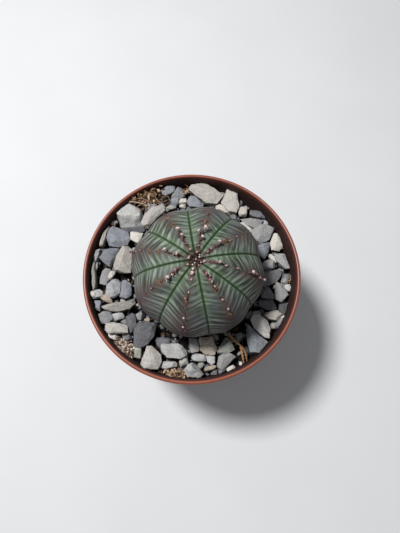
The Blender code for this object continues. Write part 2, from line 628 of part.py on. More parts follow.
def ring_place(azimuth, distance_mm):
    """A drawn place, moved with the ring between the plant and the pot's wall."""
    inner = globe_point(120, math.pi / RIBS)
    inside = math.hypot(inner.x, inner.y)
    outside = inner_radius(SOIL_CENTRE_HEIGHT + STONE_HEIGHT)
    drawn = DRAWN_OUTER_RADIUS - DRAWN_INNER_RADIUS
    share = (distance_mm * MM - DRAWN_INNER_RADIUS) / drawn
    radius = inside + share * (outside - inside)
    angle = math.radians(azimuth)
    scale = (outside - inside) / drawn
    return radius * math.cos(angle), radius * math.sin(angle), scale


def over_soil(x_mm, y_mm, height_mm):
    """A drawn point, at its height over the soil."""
    azimuth = math.degrees(math.atan2(y_mm, x_mm))
    x, y, _scale = ring_place(azimuth, math.hypot(x_mm, y_mm))
    return Vector((x, y, soil_height(x, y) + height_mm * MM))


def drawn_stone(shoulder, outline, top):
    """A broken stone's corners: its narrower foot, its outline, and the corners of its top."""
    middle_x = sum(x for x, _y in outline) / len(outline)
    middle_y = sum(y for _x, y in outline) / len(outline)
    corners = [over_soil(x, y, shoulder) for x, y in outline]
    for x, y in outline:
        foot_x = middle_x + (x - middle_x) * STONE_FOOT
        foot_y = middle_y + (y - middle_y) * STONE_FOOT
        corners.append(over_soil(foot_x, foot_y, 0))
    corners += [over_soil(*corner) for corner in top]
    return corners


def litter_clump(row, thickness, seed):
    """A patch's corners: scattered over a squarish ellipsoid, then turned."""
    azimuth, distance, length_mm, width_mm, turn = row
    chance = random.Random(seed)
    corners = []
    for step in range(LITTER_POINTS):
        height = 1 - 2 * (step + 0.5) / LITTER_POINTS
        swing = GOLDEN_TURN * step + chance.uniform(-0.5, 0.5)
        flat = math.sqrt(1 - height * height)
        ball = (flat * math.cos(swing), flat * math.sin(swing), height)
        corners.append([math.copysign(abs(value) ** LITTER_BOXINESS, value) for value in ball])
    corners = np.array(corners)
    corners -= (corners.max(axis=0) + corners.min(axis=0)) / 2
    corners /= corners.max(axis=0)
    x, y, scale = ring_place(azimuth, distance)
    size = Vector((length_mm * MM * scale, width_mm * MM * scale, thickness)) / 2
    tilt = [math.radians(chance.uniform(-LITTER_TILT, LITTER_TILT)) for _axis in range(2)]
    centre = Vector((x, y, soil_height(x, y) + thickness / 2 + GAP))
    placed = (
        Matrix.Translation(centre)
        @ Matrix.Rotation(tilt[0], 4, "X")
        @ Matrix.Rotation(tilt[1], 4, "Y")
        @ Matrix.Rotation(math.radians(turn), 4, "Z")
        @ Matrix.Diagonal((*size, 1))
    )
    return [placed @ Vector(corner) for corner in corners]


def inside_wall(points):
    """Pull corners that reach past the pot's wall back to it."""
    kept = []
    for point in points:
        radius = math.hypot(point.x, point.y)
        limit = inner_radius(point.z) * FLAT_SIDE - GAP
        pull = min(1, limit / radius)
        kept.append(Vector((point.x * pull, point.y * pull, point.z)))
    return kept


def dried_root_points():
    points = []
    for azimuth, distance, height_mm in DRIED_ROOT:
        x, y, _scale = ring_place(azimuth, distance)
        points.append(Vector((x, y, soil_height(x, y) + height_mm * MM)))
    return points


def make_dried_root():
    """A dry root lying between the stones, as a round-sectioned curve with closed ends."""
    curve = bpy.data.curves.new("dried_root", "CURVE")
    curve.dimensions = "3D"
    curve.bevel_depth = DRIED_ROOT_RADIUS
    curve.bevel_resolution = 1
    curve.use_fill_caps = True
    points = dried_root_points()
    line = curve.splines.new("POLY")
    line.points.add(len(points) - 1)
    for slot, point in zip(line.points, points):
        slot.co = (*point, 1)
    curve.materials.append(make_material("dry_root", (0.30, 0.19, 0.11), 0.8))
    piece = bpy.data.objects.new("dried_root", curve)
    bpy.context.collection.objects.link(piece)


def root_hull():
    """Corners of boxes along the dried root, which the stones keep off."""
    reach = DRIED_ROOT_RADIUS
    corners = []
    for point in dried_root_points():
        for side in range(8):
            shift = Vector((1 if side & 1 else -1, 1 if side & 2 else -1, 1 if side & 4 else -1))
            corners.append(point + shift * reach)
    return corners


def make_stones(stem):
    """The stones and the two patches of dry bits, none touching another."""
    pieces, tones = {}, {}
    for number, (tone, shoulder, outline, top) in enumerate(STONES, 1):
        name = f"gravel_{number:02d}"
        pieces[name] = drawn_stone(shoulder, outline, top)
        tones[name] = tone
    for number, (*row, name) in enumerate(LITTER, 1):
        pieces[name] = litter_clump(row, LITTER_THICKNESS, LITTER_SEED + number)
    ground, up = soil_plane()
    globe = [corner.co.copy() for corner in stem.data.vertices
             if corner.co.z > POT_HEIGHT - NECK_DEPTH]
    for name in pieces:
        pieces[name] = trimmed(inside_wall(pieces[name]), ground + up * GAP, -up)
    settle_apart(pieces)
    keep_off(pieces, globe)
    keep_off(pieces, root_hull())
    stone = {tone: make_material(f"stone_{tone}", colour, 0.8) for tone, colour in TONES.items()}
    litter = {
        "bark_litter": make_material("bark_litter", (0.20, 0.12, 0.075), 0.9),
        "grit_patch": make_material("grit", (0.22, 0.17, 0.14), 0.9),
    }
    for name, corners in pieces.items():
        material = stone[tones[name]] if name in tones else litter[name]
        shape = hull_of(corners)
        bmesh.ops.scale(shape, vec=(MM, MM, MM), verts=shape.verts[:])
        make_object(name, shape, material)


def main():
    clear_scene()
    make_pot()
    make_soil()
    stem = make_stem()
    make_crown_buds()
    make_flowers()
    make_stones(stem)
    make_dried_root()


main()
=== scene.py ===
"""A globe euphorbia in its nursery pot: the looks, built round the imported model.

Sizes are in metres unless a name ends in _MM or a table says millimetres.
"""

import json
import math
import random

import bmesh
import bpy
import numpy as np
from mathutils import Matrix, Vector, noise
from mathutils.bvhtree import BVHTree


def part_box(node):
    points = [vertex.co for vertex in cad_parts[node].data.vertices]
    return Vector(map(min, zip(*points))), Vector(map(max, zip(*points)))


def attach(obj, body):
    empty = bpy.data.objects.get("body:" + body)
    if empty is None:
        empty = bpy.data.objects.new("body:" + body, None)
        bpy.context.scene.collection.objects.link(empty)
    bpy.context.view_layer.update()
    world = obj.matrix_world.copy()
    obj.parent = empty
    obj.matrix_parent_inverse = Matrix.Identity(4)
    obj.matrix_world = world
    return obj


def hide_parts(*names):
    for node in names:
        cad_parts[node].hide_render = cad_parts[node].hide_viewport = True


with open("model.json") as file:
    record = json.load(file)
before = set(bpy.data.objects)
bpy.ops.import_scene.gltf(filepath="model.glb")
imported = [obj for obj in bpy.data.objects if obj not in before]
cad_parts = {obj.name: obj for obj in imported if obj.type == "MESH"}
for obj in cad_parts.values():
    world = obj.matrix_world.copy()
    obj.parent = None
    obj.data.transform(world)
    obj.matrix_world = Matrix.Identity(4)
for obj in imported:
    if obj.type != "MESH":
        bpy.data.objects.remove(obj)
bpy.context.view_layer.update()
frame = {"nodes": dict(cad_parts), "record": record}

MM = 0.001
POT_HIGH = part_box("pot")[1]
RIM_HEIGHT = POT_HIGH.z
RIM_RADIUS = POT_HIGH.x

# Pot
POT_SIDES = 192
BASE_RADIUS = 30.0 * MM
WALL = 1.1 * MM
LIP_WIDTH = 1.6 * MM
LIP_ROUND = 1.0 * MM
COLLAR_HEIGHT = 9.0 * MM
COLLAR_TAPER = 0.2 * MM
COLLAR_STEP = 1.2 * MM
FOOT_WIDTH = 2.6 * MM
FOOT_RECESS = 2.5 * MM
FLOOR_THICKNESS = 1.2 * MM
EDGE_ROUND = 0.5 * MM
DRAIN_HOLES = 6
DRAIN_RADIUS = 3.0 * MM
DRAIN_MARGIN = 4.0 * MM
FOOT_NOTCHES = 4
NOTCH_WIDTH = 5.0 * MM
NOTCH_HEIGHT = 1.4 * MM
COLLAR_BOTTOM = RIM_HEIGHT - COLLAR_HEIGHT
LIP_BOTTOM = RIM_HEIGHT - LIP_ROUND
FOOT_INNER = BASE_RADIUS - FOOT_WIDTH
FLOOR_TOP = FOOT_RECESS + FLOOR_THICKNESS
SOFT = 0.35 * MM
FLOOR_CORNER = 2 * MM
MERGE = 0.01 * MM

# Plant
PLANT = Vector((2.0, -1.6, 0)) * MM
GLOBE_RADIUS = 24.8 * MM
EQUATOR_HEIGHT = RIM_HEIGHT + 6.0 * MM
CROWN_RISE = 20.0 * MM
CROWN_LEAN = Vector((-0.9, -1.7, 0)) * MM
UNDERSIDE_DROP = 22.0 * MM
UNDERSIDE_END = 150.0
DIMPLE_DEPTH = 2.2 * MM
DIMPLE_RADIUS = 4.7 * MM
RIBS = 8
FURROW_START = math.radians(10.0)
RIB_DEPTH = 0.045
GROOVE_DEPTH = 0.55 * MM
GROOVE_WIDTH = 0.3 * MM
BAND_SPACING_MM = 2.15
ROWS = 190
COLUMNS_PER_RIB = 44
# The neck and taproot under the skin: radius and height in mm
NECK = [(6.5, 47.0), (5.2, 42.0), (3.2, 34.5), (1.6, 23.6)]
ROOT_TIP = 22.0 * MM

# Soil and stones
SOIL_CENTRE_HEIGHT = RIM_HEIGHT - 9.5 * MM
SOIL_SLOPE = math.radians(1.8)
SOIL_FALLS_TOWARD = math.radians(-5.0)
SOIL_CLEARANCE = 0.3 * MM
HOLLOW_RADIUS = 20 * MM
HOLLOW_DEPTH = 40 * MM

# Each rib's row of flowers from the crown outward: crown angle in degrees, kind, size
FLOWER_ROWS = [
    [(9, "stub", 0.7), (13, "dark", 1.0), (19, "stub", 1.1), (29, "scar", 1.3), (41, "cap", 0.6),
     (57, "scar", 0.8)],
    [(6, "bud", 0.8), (10, "dark", 0.9), (15, "stub", 0.9), (21, "fork", 1.2), (36, "scar", 1.0),
     (48, "scar", 0.9)],
    [(9, "bud", 0.9), (13, "dark", 0.8), (18, "stub", 1.1), (24, "stub", 1.2), (39, "scar", 0.9),
     (51, "scar", 0.8), (65, "dark", 0.6)],
    [(6, "bud", 0.8), (12, "stub", 1.0), (15.5, "dark", 0.9), (21, "stub", 1.0), (31, "scar", 0.9),
     (41, "scar", 0.7), (54, "cap", 0.7), (62, "cap", 0.6), (70, "stub", 0.8)],
    [(8, "bud", 0.8), (15, "stub", 1.0), (21, "fork", 1.1), (33, "scar", 0.9), (36, "scar", 0.8),
     (45, "cap", 0.8), (55, "scar", 0.7), (74, "stub", 0.8)],
    [(8.5, "bud", 0.9), (12, "bud", 1.2), (16.5, "cap", 1.0), (27, "cap", 0.8), (30, "stub", 0.8),
     (35, "scar", 0.8), (39, "dark", 0.7), (48, "stub", 0.6), (60, "stub", 0.6), (71, "scar", 0.7)],
    [(12, "stub", 0.9), (17, "fork", 0.8), (21, "bud", 1.0), (26, "cap", 0.9), (29, "scar", 0.8),
     (39, "cap", 0.9), (50, "bud", 0.7), (58, "scar", 0.8)],
    [(7, "bud", 0.8), (11, "dark", 0.9), (15.5, "stub", 0.9), (24, "cap", 1.0), (34, "cap", 0.8),
     (45, "stub", 1.0), (52, "stub", 0.7), (57, "stub", 0.8), (67, "stub", 0.8)],
]

# Stones that fill between the large ones, in mm: azimuth in degrees, distance from the axis,
# length, width, turn in degrees, lift over the soil, tone
SMALL_STONES = [
    (66, 32.0, 8.0, 3.6, 156, 2.0, "cream"), (53, 35.6, 4.0, 4.8, 0, 2.2, "cream"),
    (43.5, 31.2, 7.5, 1.8, -40, 2.6, "white"), (19.5, 39.0, 3.0, 3.0, 0, 1.6, "cream"),
    (13, 34.4, 5.0, 2.2, -45, 2.4, "cream"), (9, 31.8, 5.3, 4.6, 0, 1.6, "pale_grey"),
    (4, 36.4, 3.0, 2.6, 0, 1.4, "mid_grey"), (-1, 38.3, 5.0, 4.0, 90, 0.8, "slate"),
    (103, 33.4, 4.6, 3.6, 20, 1.6, "blue_grey"), (97, 32.6, 4.0, 2.8, 10, 2.6, "cream"),
    (98, 30.8, 3.0, 1.8, -20, 2.4, "cream"), (107, 31.2, 4.6, 2.2, 10, 2.2, "green_grey"),
    (113, 33.0, 4.0, 3.2, 80, 1.2, "blue_grey"), (120.5, 34.8, 4.2, 3.6, 90, 1.4, "blue_grey"),
    (135, 29.6, 5.0, 3.2, 0, 1.4, "mid_grey"), (145.5, 39.6, 3.2, 2.2, 30, 2.0, "cream"),
    (175, 39.2, 4.0, 2.2, 90, 2.2, "pale_grey"), (181, 32.4, 4.0, 2.6, 60, 2.6, "cream"),
    (175.5, 31.0, 3.6, 2.6, 20, 1.0, "slate"), (192.5, 38.4, 5.6, 3.6, 0, 2.6, "pale_grey"),
    (192.5, 39.8, 3.4, 2.4, 0, 4.0, "cream"), (196.5, 35.2, 6.0, 2.6, -35, 2.8, "beige"),
    (199, 39.2, 5.0, 3.8, 90, 1.2, "blue_grey"), (210, 33.8, 5.6, 3.2, 0, 1.6, "pale_grey"),
    (219, 26.5, 4.2, 3.6, 0, 0.8, "mid_grey"), (226, 25.2, 2.6, 1.8, 0, 1.0, "beige"),
    (218.5, 39.4, 6.6, 2.8, -10, 1.8, "white"), (224, 34.9, 3.6, 3.4, 0, 1.2, "slate"),
    (236, 36.6, 5.6, 3.2, 90, 1.2, "green_grey"), (256, 36.2, 6.6, 2.8, 5, 1.8, "pale_grey"),
    (248, 28.8, 5.6, 3.8, 0, 1.2, "slate"), (255, 27.6, 4.0, 2.4, 0, 0.4, "slate"),
    (265, 34.2, 4.2, 3.6, 90, 1.2, "green_grey"), (275, 32.6, 6.0, 3.2, 0, 1.2, "pale_grey"),
    (288, 38.2, 5.6, 3.0, 70, 1.2, "blue_grey"), (281, 37.0, 5.0, 1.6, 10, 2.0, "beige"),
    (292, 39.6, 3.6, 2.6, 20, 1.6, "white"), (329, 29.6, 4.6, 2.4, 10, 0.8, "green_grey"),
    (331.5, 39.4, 6.0, 2.6, 45, 1.6, "mid_grey"), (328, 38.0, 2.8, 2.6, 0, 1.6, "green_grey"),
    (335, 39.8, 2.6, 1.6, 30, 2.4, "white"), (353, 39.3, 3.2, 3.0, 0, 2.0, "pale_grey"),
    (353, 34.2, 2.4, 2.2, 0, 1.2, "white"), (274, 39.6, 2.4, 2.0, 0, 1.6, "white"),
    (298.5, 39.6, 1.8, 1.6, 0, 1.6, "white"), (307, 30.6, 4.2, 3.4, 40, 0.4, "mid_grey"),
    (17, 36.2, 3.0, 2.4, 60, 0.6, "slate"), (70, 39.2, 4.0, 2.4, -20, 0.8, "mid_grey"),
    (58, 39.0, 3.4, 2.8, 30, 0.6, "slate"), (38, 39.2, 4.0, 2.8, -50, 0.8, "blue_grey"),
    (30, 30.6, 4.4, 3.0, 70, 0.6, "slate"), (56, 31.4, 4.4, 3.2, -30, 0.8, "slate"),
    (75, 32.6, 4.4, 3.0, 0, 0.8, "mid_grey"), (162, 31.4, 3.6, 2.8, 40, 0.8, "slate"),
]
TONES = {
    "white": ((208, 203, 196), (178, 171, 162)),
    "cream": ((194, 189, 180), (158, 151, 142)),
    "beige": ((172, 158, 142), (132, 117, 102)),
    "pale_grey": ((178, 178, 176), (132, 132, 132)),
    "mid_grey": ((132, 131, 133), (94, 93, 98)),
    "green_grey": ((162, 163, 154), (124, 126, 118)),
    "blue_grey": ((140, 144, 151), (96, 99, 107)),
    "slate": ((110, 111, 117), (57, 57, 62)),
}
FILLER_STONES = 560
# Mostly dark tones for the filler stones, as painted shade in the gaps between the large stones
FILLER_TONES_AS_SHADE = ["slate", "slate", "slate", "mid_grey", "mid_grey", "blue_grey", "blue_grey", "green_grey"]
# Gaps left open between the stones, in mm: azimuth, distance, radius
OPEN_GAPS = [(237, 27.0, 3.4), (243, 32.4, 2.2), (181, 28.6, 2.6), (297, 29.6, 2.6), (306, 33.6, 2.4),
             (22, 30.4, 2.0), (50, 39.0, 1.8), (222, 30.0, 1.8), (12, 39.0, 1.8), (286, 40.0, 1.6)]
STONE_VOXEL = 0.16 * MM
STONE_BEND = 0.32 * MM
CHIP_VOXEL = 0.16 * MM
WALL_CLEARANCE = 0.15 * MM
# Where the dry bits gather: azimuth in degrees and distance in mm
BARK_AT = (120.5, 38.5)
GRIT_AT = (227.5, 38.4)
# Short strands by the rim, in mm: azimuth, distance, heading in degrees, length
RIM_STRAWS = [
    (356, 39.6, 80, 3.2), (357, 38.8, 20, 2.4), (92, 38.8, 60, 2.4), (93, 39.4, 140, 2.2),
    (259, 38.8, 10, 3.0), (261, 39.4, 120, 2.6), (258, 39.6, 60, 2.2), (89, 39.6, 10, 3.0),
    (148, 38.0, 100, 2.0), (310, 38.6, 30, 2.4),
]
GRIT_TINTS = [(0.0, (64, 46, 38)), (0.3, (112, 86, 70)), (0.5, (124, 104, 108)),
              (0.7, (166, 146, 124)), (0.9, (206, 194, 176))]


# Shader maths


class Socket:
    """A node's output as a value, on which an operator adds a Math node."""

    def __init__(self, finish, link):
        self.finish = finish
        self.link = link

    def math(self, operation, *values):
        return self.finish.node("ShaderNodeMath", {"operation": operation}, dict(enumerate(values)))

    def __add__(self, other):
        return self.math("ADD", self, other)

    def __sub__(self, other):
        return self.math("SUBTRACT", self, other)

    def __rsub__(self, other):
        return self.math("SUBTRACT", other, self)

    def __mul__(self, other):
        return self.math("MULTIPLY", self, other)

    def __pow__(self, other):
        return self.math("POWER", self, other)

    __radd__ = __add__
    __rmul__ = __mul__

    def sine(self):
        return self.math("SINE", self)

    def clamped(self):
        return self.math("MAXIMUM", self.math("MINIMUM", self, 1.0), 0.0)

    def between(self, low, high):
        """0 below low, 1 above high, and smooth from one to the other."""
        limits = {"Value": self, "From Min": low, "From Max": high}
        return self.finish.node("ShaderNodeMapRange", {"interpolation_type": "SMOOTHSTEP"}, limits)


def srgb(red, green, blue):
    """A colour given as it looks on screen, 0 to 255, as a linear shader colour."""
    linear = []
    for value in (red / 255, green / 255, blue / 255):
        linear.append(value / 12.92 if value <= 0.04045 else ((value + 0.055) / 1.055) ** 2.4)
    return (*linear, 1.0)


class Finish:
    """A material on one Principled shader, its colour laid on layer by layer."""

    def __init__(self, name, specular):
        self.material = bpy.data.materials.new(name)
        self.material.use_nodes = True
        self.tree = self.material.node_tree
        self.shader = self.tree.nodes["Principled BSDF"]
        self.shader.inputs["Specular IOR Level"].default_value = specular
        self.colour = None

    def node(self, kind, settings=None, inputs=None, output=0):
        made = self.tree.nodes.new(kind)
        for name, value in (settings or {}).items():
            setattr(made, name, value)
        for name, value in (inputs or {}).items():
            if isinstance(value, Socket):
                self.tree.links.new(value.link, made.inputs[name])
            else:
                made.inputs[name].default_value = value
        return Socket(self, made.outputs[output])

    def vector(self, x, y, z):
        return self.node("ShaderNodeCombineXYZ", None, {0: x, 1: y, 2: z})

    def part(self, vector, axis):
        return self.node("ShaderNodeSeparateXYZ", None, {0: vector}, axis)

    def place(self, stretch=(1, 1, 1)):
        """The point on the object in millimetres, with each axis stretched."""
        point = self.node("ShaderNodeTexCoord", output="Object")
        scale = tuple(1000 * value for value in stretch)
        return self.node("ShaderNodeVectorMath", {"operation": "MULTIPLY"}, {0: point, 1: scale})

    def shifted(self, amount, where=None):
        """The place, moved by an amount that differs from stone to stone."""
        step = self.vector(amount, amount, amount)
        inputs = {0: where or self.place(), 1: step}
        return self.node("ShaderNodeVectorMath", {"operation": "ADD"}, inputs)

    def noise(self, per_mm, detail=3.0, roughness=0.5, where=None, twist=0.0):
        inputs = {"Vector": where or self.place(), "Scale": per_mm, "Detail": detail,
                  "Roughness": roughness, "Distortion": twist}
        return self.node("ShaderNodeTexNoise", {"normalize": True}, inputs)

    def cells(self, per_mm, where=None, feature="F1", output="Distance"):
        inputs = {"Vector": where or self.place(), "Scale": per_mm}
        return self.node("ShaderNodeTexVoronoi", {"feature": feature}, inputs, output)

    def painted(self, name):
        """The three parts of a vector that the mesh carries at its points."""
        vector = self.node("ShaderNodeAttribute", {"attribute_name": name}, output="Vector")
        return [self.part(vector, axis) for axis in "XYZ"]

    def upward(self):
        """How far the surface faces up, from -1 to 1."""
        return self.part(self.node("ShaderNodeNewGeometry", output="Normal"), "Z")

    def mix(self, factor, first, second):
        """Two colours blended; a plain one is given as it looks on screen."""
        inputs = {0: factor}
        for slot, colour in ((6, first), (7, second)):
            inputs[slot] = colour if isinstance(colour, Socket) else srgb(*colour)
        return self.node("ShaderNodeMix", {"data_type": "RGBA"}, inputs, 2)

    def layer(self, factor, colour):
        """Lay a colour over what is there, as far as the factor says."""
        self.colour = self.mix(factor, self.colour, colour)

    def ramp(self, factor, stops):
        shown = self.node("ShaderNodeValToRGB", None, {0: factor}, "Color")
        elements = shown.link.node.color_ramp.elements
        while len(elements) < len(stops):
            elements.new(0.5)
        for element, (position, colour) in zip(elements, stops):
            element.position = position
            element.color = srgb(*colour)
        return shown

    def done(self, roughness, height=None, depth_mm=0.0, strength=1.0):
        """Feed the shader its colour, roughness and bumps, and hand the material over."""
        feeds = {"Base Color": self.colour, "Roughness": roughness}
        if height:
            inputs = {"Strength": strength, "Distance": depth_mm * MM, "Height": height}
            feeds["Normal"] = self.node("ShaderNodeBump", None, inputs)
        for socket, value in feeds.items():
            self.tree.links.new(value.link, self.shader.inputs[socket])
        return self.material


# Materials


def pot_plastic():
    plastic = Finish("terracotta_plastic", 0.4)
    inner, height, _spare = plastic.painted("side")
    broad = plastic.noise(0.09, 4.0, 0.6)
    fine = plastic.noise(1.6, 5.0, 0.65)
    streaks = plastic.noise(0.8, 4.0, 0.6, plastic.place((1, 1, 0.12)))
    scuffs = plastic.noise(0.5, 6.0, 0.75, plastic.place((1, 1, 3))).between(0.62, 0.78)
    dirt_and_shade = plastic.noise(0.45, 5.0, 0.7).between(0.3, 0.72)
    # Painted shade: the inside of the wall is coloured near black-brown and mottled by real dirt; just
    # under the lip it is painted lighter, as painted light where light reaches in
    inside = plastic.mix(dirt_and_shade * 0.7, (45, 19, 13), (22, 11, 8))
    inside = plastic.mix(height.between(0.95, 1.0) * 0.6, inside, (98, 43, 29))
    lime = streaks.between(0.56, 0.8) * 0.18 * height.between(0.15, 0.95)
    foot = 1.0 - height.between(0.0, 0.12)
    plastic.colour = plastic.mix(broad, (115, 56, 38), (133, 72, 52))
    plastic.layer(fine.between(0.45, 0.75) * 0.25, (150, 98, 84))
    plastic.layer(lime, (178, 148, 142))
    plastic.layer(scuffs * 0.25, (120, 62, 46))
    # The painted shade of the inside, laid over the wall's inner face
    plastic.layer(inner, inside)
    plastic.layer(foot * fine * 0.8, (96, 60, 46))
    roughness = 0.32 + fine * 0.14 + inner * 0.36 + scuffs * 0.12
    return plastic.done(roughness, fine * 0.6 + streaks * 0.5 + broad, 0.05, 0.5)


def stem_skin():
    """Grey-green skin in cross bands, purple-brown toward the rim, with dark furrows."""
    skin = Finish("stem_skin", 0.35)
    # across: 0 in a furrow, 1 on a crest; out: 0 at the crown, 1 at the equator
    across, band_mm, out = skin.painted("rib")
    scarred, furrow_mm, rib = skin.painted("marks")
    # Noise in places counted along the bands, so that streaks run with them
    strip = skin.vector(across * 1.6, band_mm, rib)
    sway = skin.noise(0.3, 3.0, 0.6, strip)
    patch = skin.noise(0.42, 3.0, 0.55, strip)
    hair = skin.noise(1.0, 3.0, 0.6, skin.vector(across * 1.1, band_mm * 3.2, rib * 3.0))
    cloud = skin.noise(1.0, 4.0, 0.65, skin.vector(across * 0.9, band_mm * 0.85, rib * 5.0))
    mottle = skin.noise(0.9, 5.0, 0.65)
    broad = skin.noise(0.09, 3.0, 0.5)
    phase = (band_mm + sway * 5.4) * (2 * math.pi / BAND_SPACING_MM)
    wave = (phase.sine() * 0.5 + 0.5) ** 1.3
    pale = wave * (0.3 + patch.between(0.3, 0.68) * 0.75) * (1.12 - across * 0.75)
    pale = (pale + (cloud - 0.47) * 1.1 + (hair - 0.5) * 0.55).clamped()
    crest = across.between(0.35, 1.0) * out.between(0.15, 0.7)
    purple = out.between(0.35, 0.95) * 0.8 + crest * 0.6 + (broad - 0.5) * 1.4 - 0.05
    dark_band = skin.mix(purple, (40, 47, 37), (53, 44, 43))
    pale_band = skin.mix(purple, (134, 144, 130), (142, 136, 136))
    skin.colour = skin.mix(pale, dark_band, pale_band)
    skin.layer(mottle.between(0.5, 0.85) * 0.35 + crest * mottle * 0.5, (68, 58, 54))
    skin.layer(broad.between(0.42, 0.62) * 0.22, (88, 102, 106))
    # Furrow: a thin dark line between fresh green flanks
    flank = 1.0 - furrow_mm.between(0.3, 2.2)
    skin.layer(flank * (0.55 - out.between(0.2, 0.9) * 0.3), (80, 104, 70))
    line = 1.0 - furrow_mm.between(0.14, 0.38 + hair * 0.2)
    skin.layer(line * 0.95, (30, 50, 28))
    streak = (cloud - 0.36 + (hair - 0.5) * 0.8).between(0.06, 0.3) * across.between(0.35, 0.9)
    skin.layer(streak * out.between(0.2, 0.55) * 0.7, (70, 44, 38))
    rust = (scarred + (mottle - 0.6) * 1.5).between(0.15, 0.8) * 0.85
    skin.layer(rust, skin.mix(hair, (52, 38, 33), (94, 74, 64)))
    crown = 1.0 - (out + (mottle - 0.5) * 0.1).between(0.04, 0.14)
    skin.layer(crown * 0.7, (60, 44, 38))
    crumbs = skin.noise(2.6, 3.0, 0.6).between(0.66, 0.74) * across.between(0.55, 1.0)
    skin.layer(crumbs * 0.5, (74, 44, 36))
    bumps = wave * 0.5 + hair * 0.5 + mottle * 0.45 - line * 0.6
    return skin.done(0.56 + mottle * 0.16 - pale * 0.06, bumps, 0.12, 0.55)


def flower_flesh(name):
    """Withered flowers: pale pink at their tips, wine red and brown lower down."""
    flesh = Finish(name, 0.3)
    along, tint, chance = flesh.painted("look")
    fleck = flesh.noise(3.2, 4.0, 0.65)
    tip = flesh.mix(chance.between(0.3, 0.9), (206, 186, 180), (152, 108, 112))
    root = flesh.mix(fleck.between(0.35, 0.65), (38, 24, 22), (108, 74, 70))
    cork = flesh.mix((fleck * 0.6 + chance * 0.4).between(0.3, 0.7), (56, 40, 31), (124, 100, 80))
    flesh.colour = flesh.mix((along + (fleck - 0.5) * 1.5).between(0.4, 0.9), root, tip)
    flesh.layer(tint.between(0.35, 0.65), cork)
    flesh.layer(tint.between(0.8, 0.95), flesh.mix(fleck, (34, 20, 19), (80, 46, 44)))
    return flesh.done(0.55 + fleck * 0.25, fleck + flesh.noise(8.0, 2.0), 0.12, 0.7)


def stone_finish(tone):
    """Broken limestone or slate: mottled, faintly veined, lighter on top faces as dust and painted light,
    so darker below.
    """
    light, dark = TONES[tone]
    stone = Finish(f"stone_{tone}", 0.25)
    seed, shade, _spare = stone.painted("look")
    place = stone.shifted(seed * 57.0)
    broad = stone.noise(0.22, 3.0, 0.55, place, 0.4)
    mottle = stone.noise(0.9, 6.0, 0.68, place)
    grit = stone.noise(7.0, 3.0, 0.7, place)
    ochre = stone.noise(0.35, 4.0, 0.6, stone.shifted(seed * 31.0 + 9.0)).between(0.58, 0.8)
    cracks = stone.cells(0.16, stone.shifted(mottle * 1.2, place), "DISTANCE_TO_EDGE")
    vein = 1.0 - cracks.between(0.0, 0.05)
    # Painted light: faces that look up are lightened, partly as dust
    dust_and_top_light = stone.upward().between(0.25, 1.0) * (0.3 + mottle * 0.5)
    stone.colour = stone.mix(broad * 0.9 + (mottle - 0.5) * 1.8, dark, light)
    stone.layer(ochre * 0.3, (150, 128, 104))
    stone.layer(vein * mottle.between(0.45, 0.75) * 0.3, dark)
    stone.layer(grit.between(0.64, 0.8) * 0.3, (60, 58, 58))
    stone.layer(dust_and_top_light * 0.45, stone.mix(0.3, light, (205, 202, 197)))
    stone.layer(shade.between(0.5, 1.0) * 0.35, (214, 209, 200))
    stone.layer((0.5 - shade).between(0.0, 0.5) * 0.35, (58, 58, 62))
    return stone.done(0.78 + mottle * 0.2, mottle * 1.1 + grit * 0.4 + vein * -0.12, 0.36)


def potting_mix():
    mix = Finish("potting_mix", 0.2)
    fine = mix.noise(1.2, 6.0, 0.7)
    bits = mix.part(mix.cells(1.1, output="Color"), "X")
    # Painted shade: the mix is coloured near black, darker than potting mix is, so the gaps between the
    # stones read as deep shadow
    mix.colour = mix.mix(fine.between(0.3, 0.7), (9, 7, 6), (28, 21, 16))
    mix.layer(bits.between(0.9, 0.94) * 0.5, (96, 78, 60))
    return mix.done(0.86 + fine * 0.12, fine + mix.cells(0.7), 0.5, 0.9)


def dry_plant(name, low, high, pale):
    """Dead bark, straw or root: fibrous, from dark to pale."""
    fibre = Finish(name, 0.25)
    along, _tint, chance = fibre.painted("look")
    fleck = fibre.noise(2.4, 5.0, 0.7)
    fibre.colour = fibre.mix(fleck.between(0.3, 0.72) * 0.7 + chance * 0.5, low, high)
    fibre.layer(chance.between(0.62, 0.9) * fleck.between(0.35, 0.6), pale)
    fibre.layer((along * 9.0).sine() * 0.15 + 0.1, low)
    return fibre.done(0.72 + fleck * 0.2, fleck, 0.15, 0.8)


def grit_finish():
    grit = Finish("grit", 0.3)
    fleck = grit.noise(4.0, 3.0, 0.6)
    grit.colour = grit.ramp(grit.painted("look")[2], GRIT_TINTS)
    grit.layer(fleck.between(0.4, 0.8) * 0.4, (58, 46, 40))
    return grit.done(0.7 + fleck * 0.2, fleck, 0.1, 0.6)


# Mesh work


def linked(name, data):
    """A new object, put in the scene."""
    made = bpy.data.objects.new(name, data)
    bpy.context.scene.collection.objects.link(made)
    return made


def new_mesh(name, points, faces):
    mesh = bpy.data.meshes.new(name)
    mesh.from_pydata(points, [], faces)
    return mesh


def new_object(name, mesh, material, sharp_angle=None):
    """A smooth-shaded piece, with edges kept sharp above the given angle."""
    mesh.materials.clear()
    mesh.materials.append(material)
    mesh.shade_smooth()
    if sharp_angle:
        mesh.set_sharp_from_angle(angle=math.radians(sharp_angle))
    return linked(name, mesh)


def paint(mesh, name, values):
    """Store one vector for each point of the mesh."""
    layer = mesh.attributes.new(name, "FLOAT_VECTOR", "POINT")
    layer.data.foreach_set("vector", np.asarray(values, dtype=np.float32).ravel())


def finish_piece(piece, slot, *nodes):
    """The piece rides on the pot and replaces its CAD nodes; slot is not used."""
    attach(piece, "root")
    if nodes:
        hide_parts(*nodes)


def spun(radius, angle):
    """The x and y of a point at an angle round an axis."""
    return radius * math.cos(angle), radius * math.sin(angle)


def circle(radius, height, count):
    return [(*spun(radius, 2 * math.pi * step / count), height) for step in range(count)]


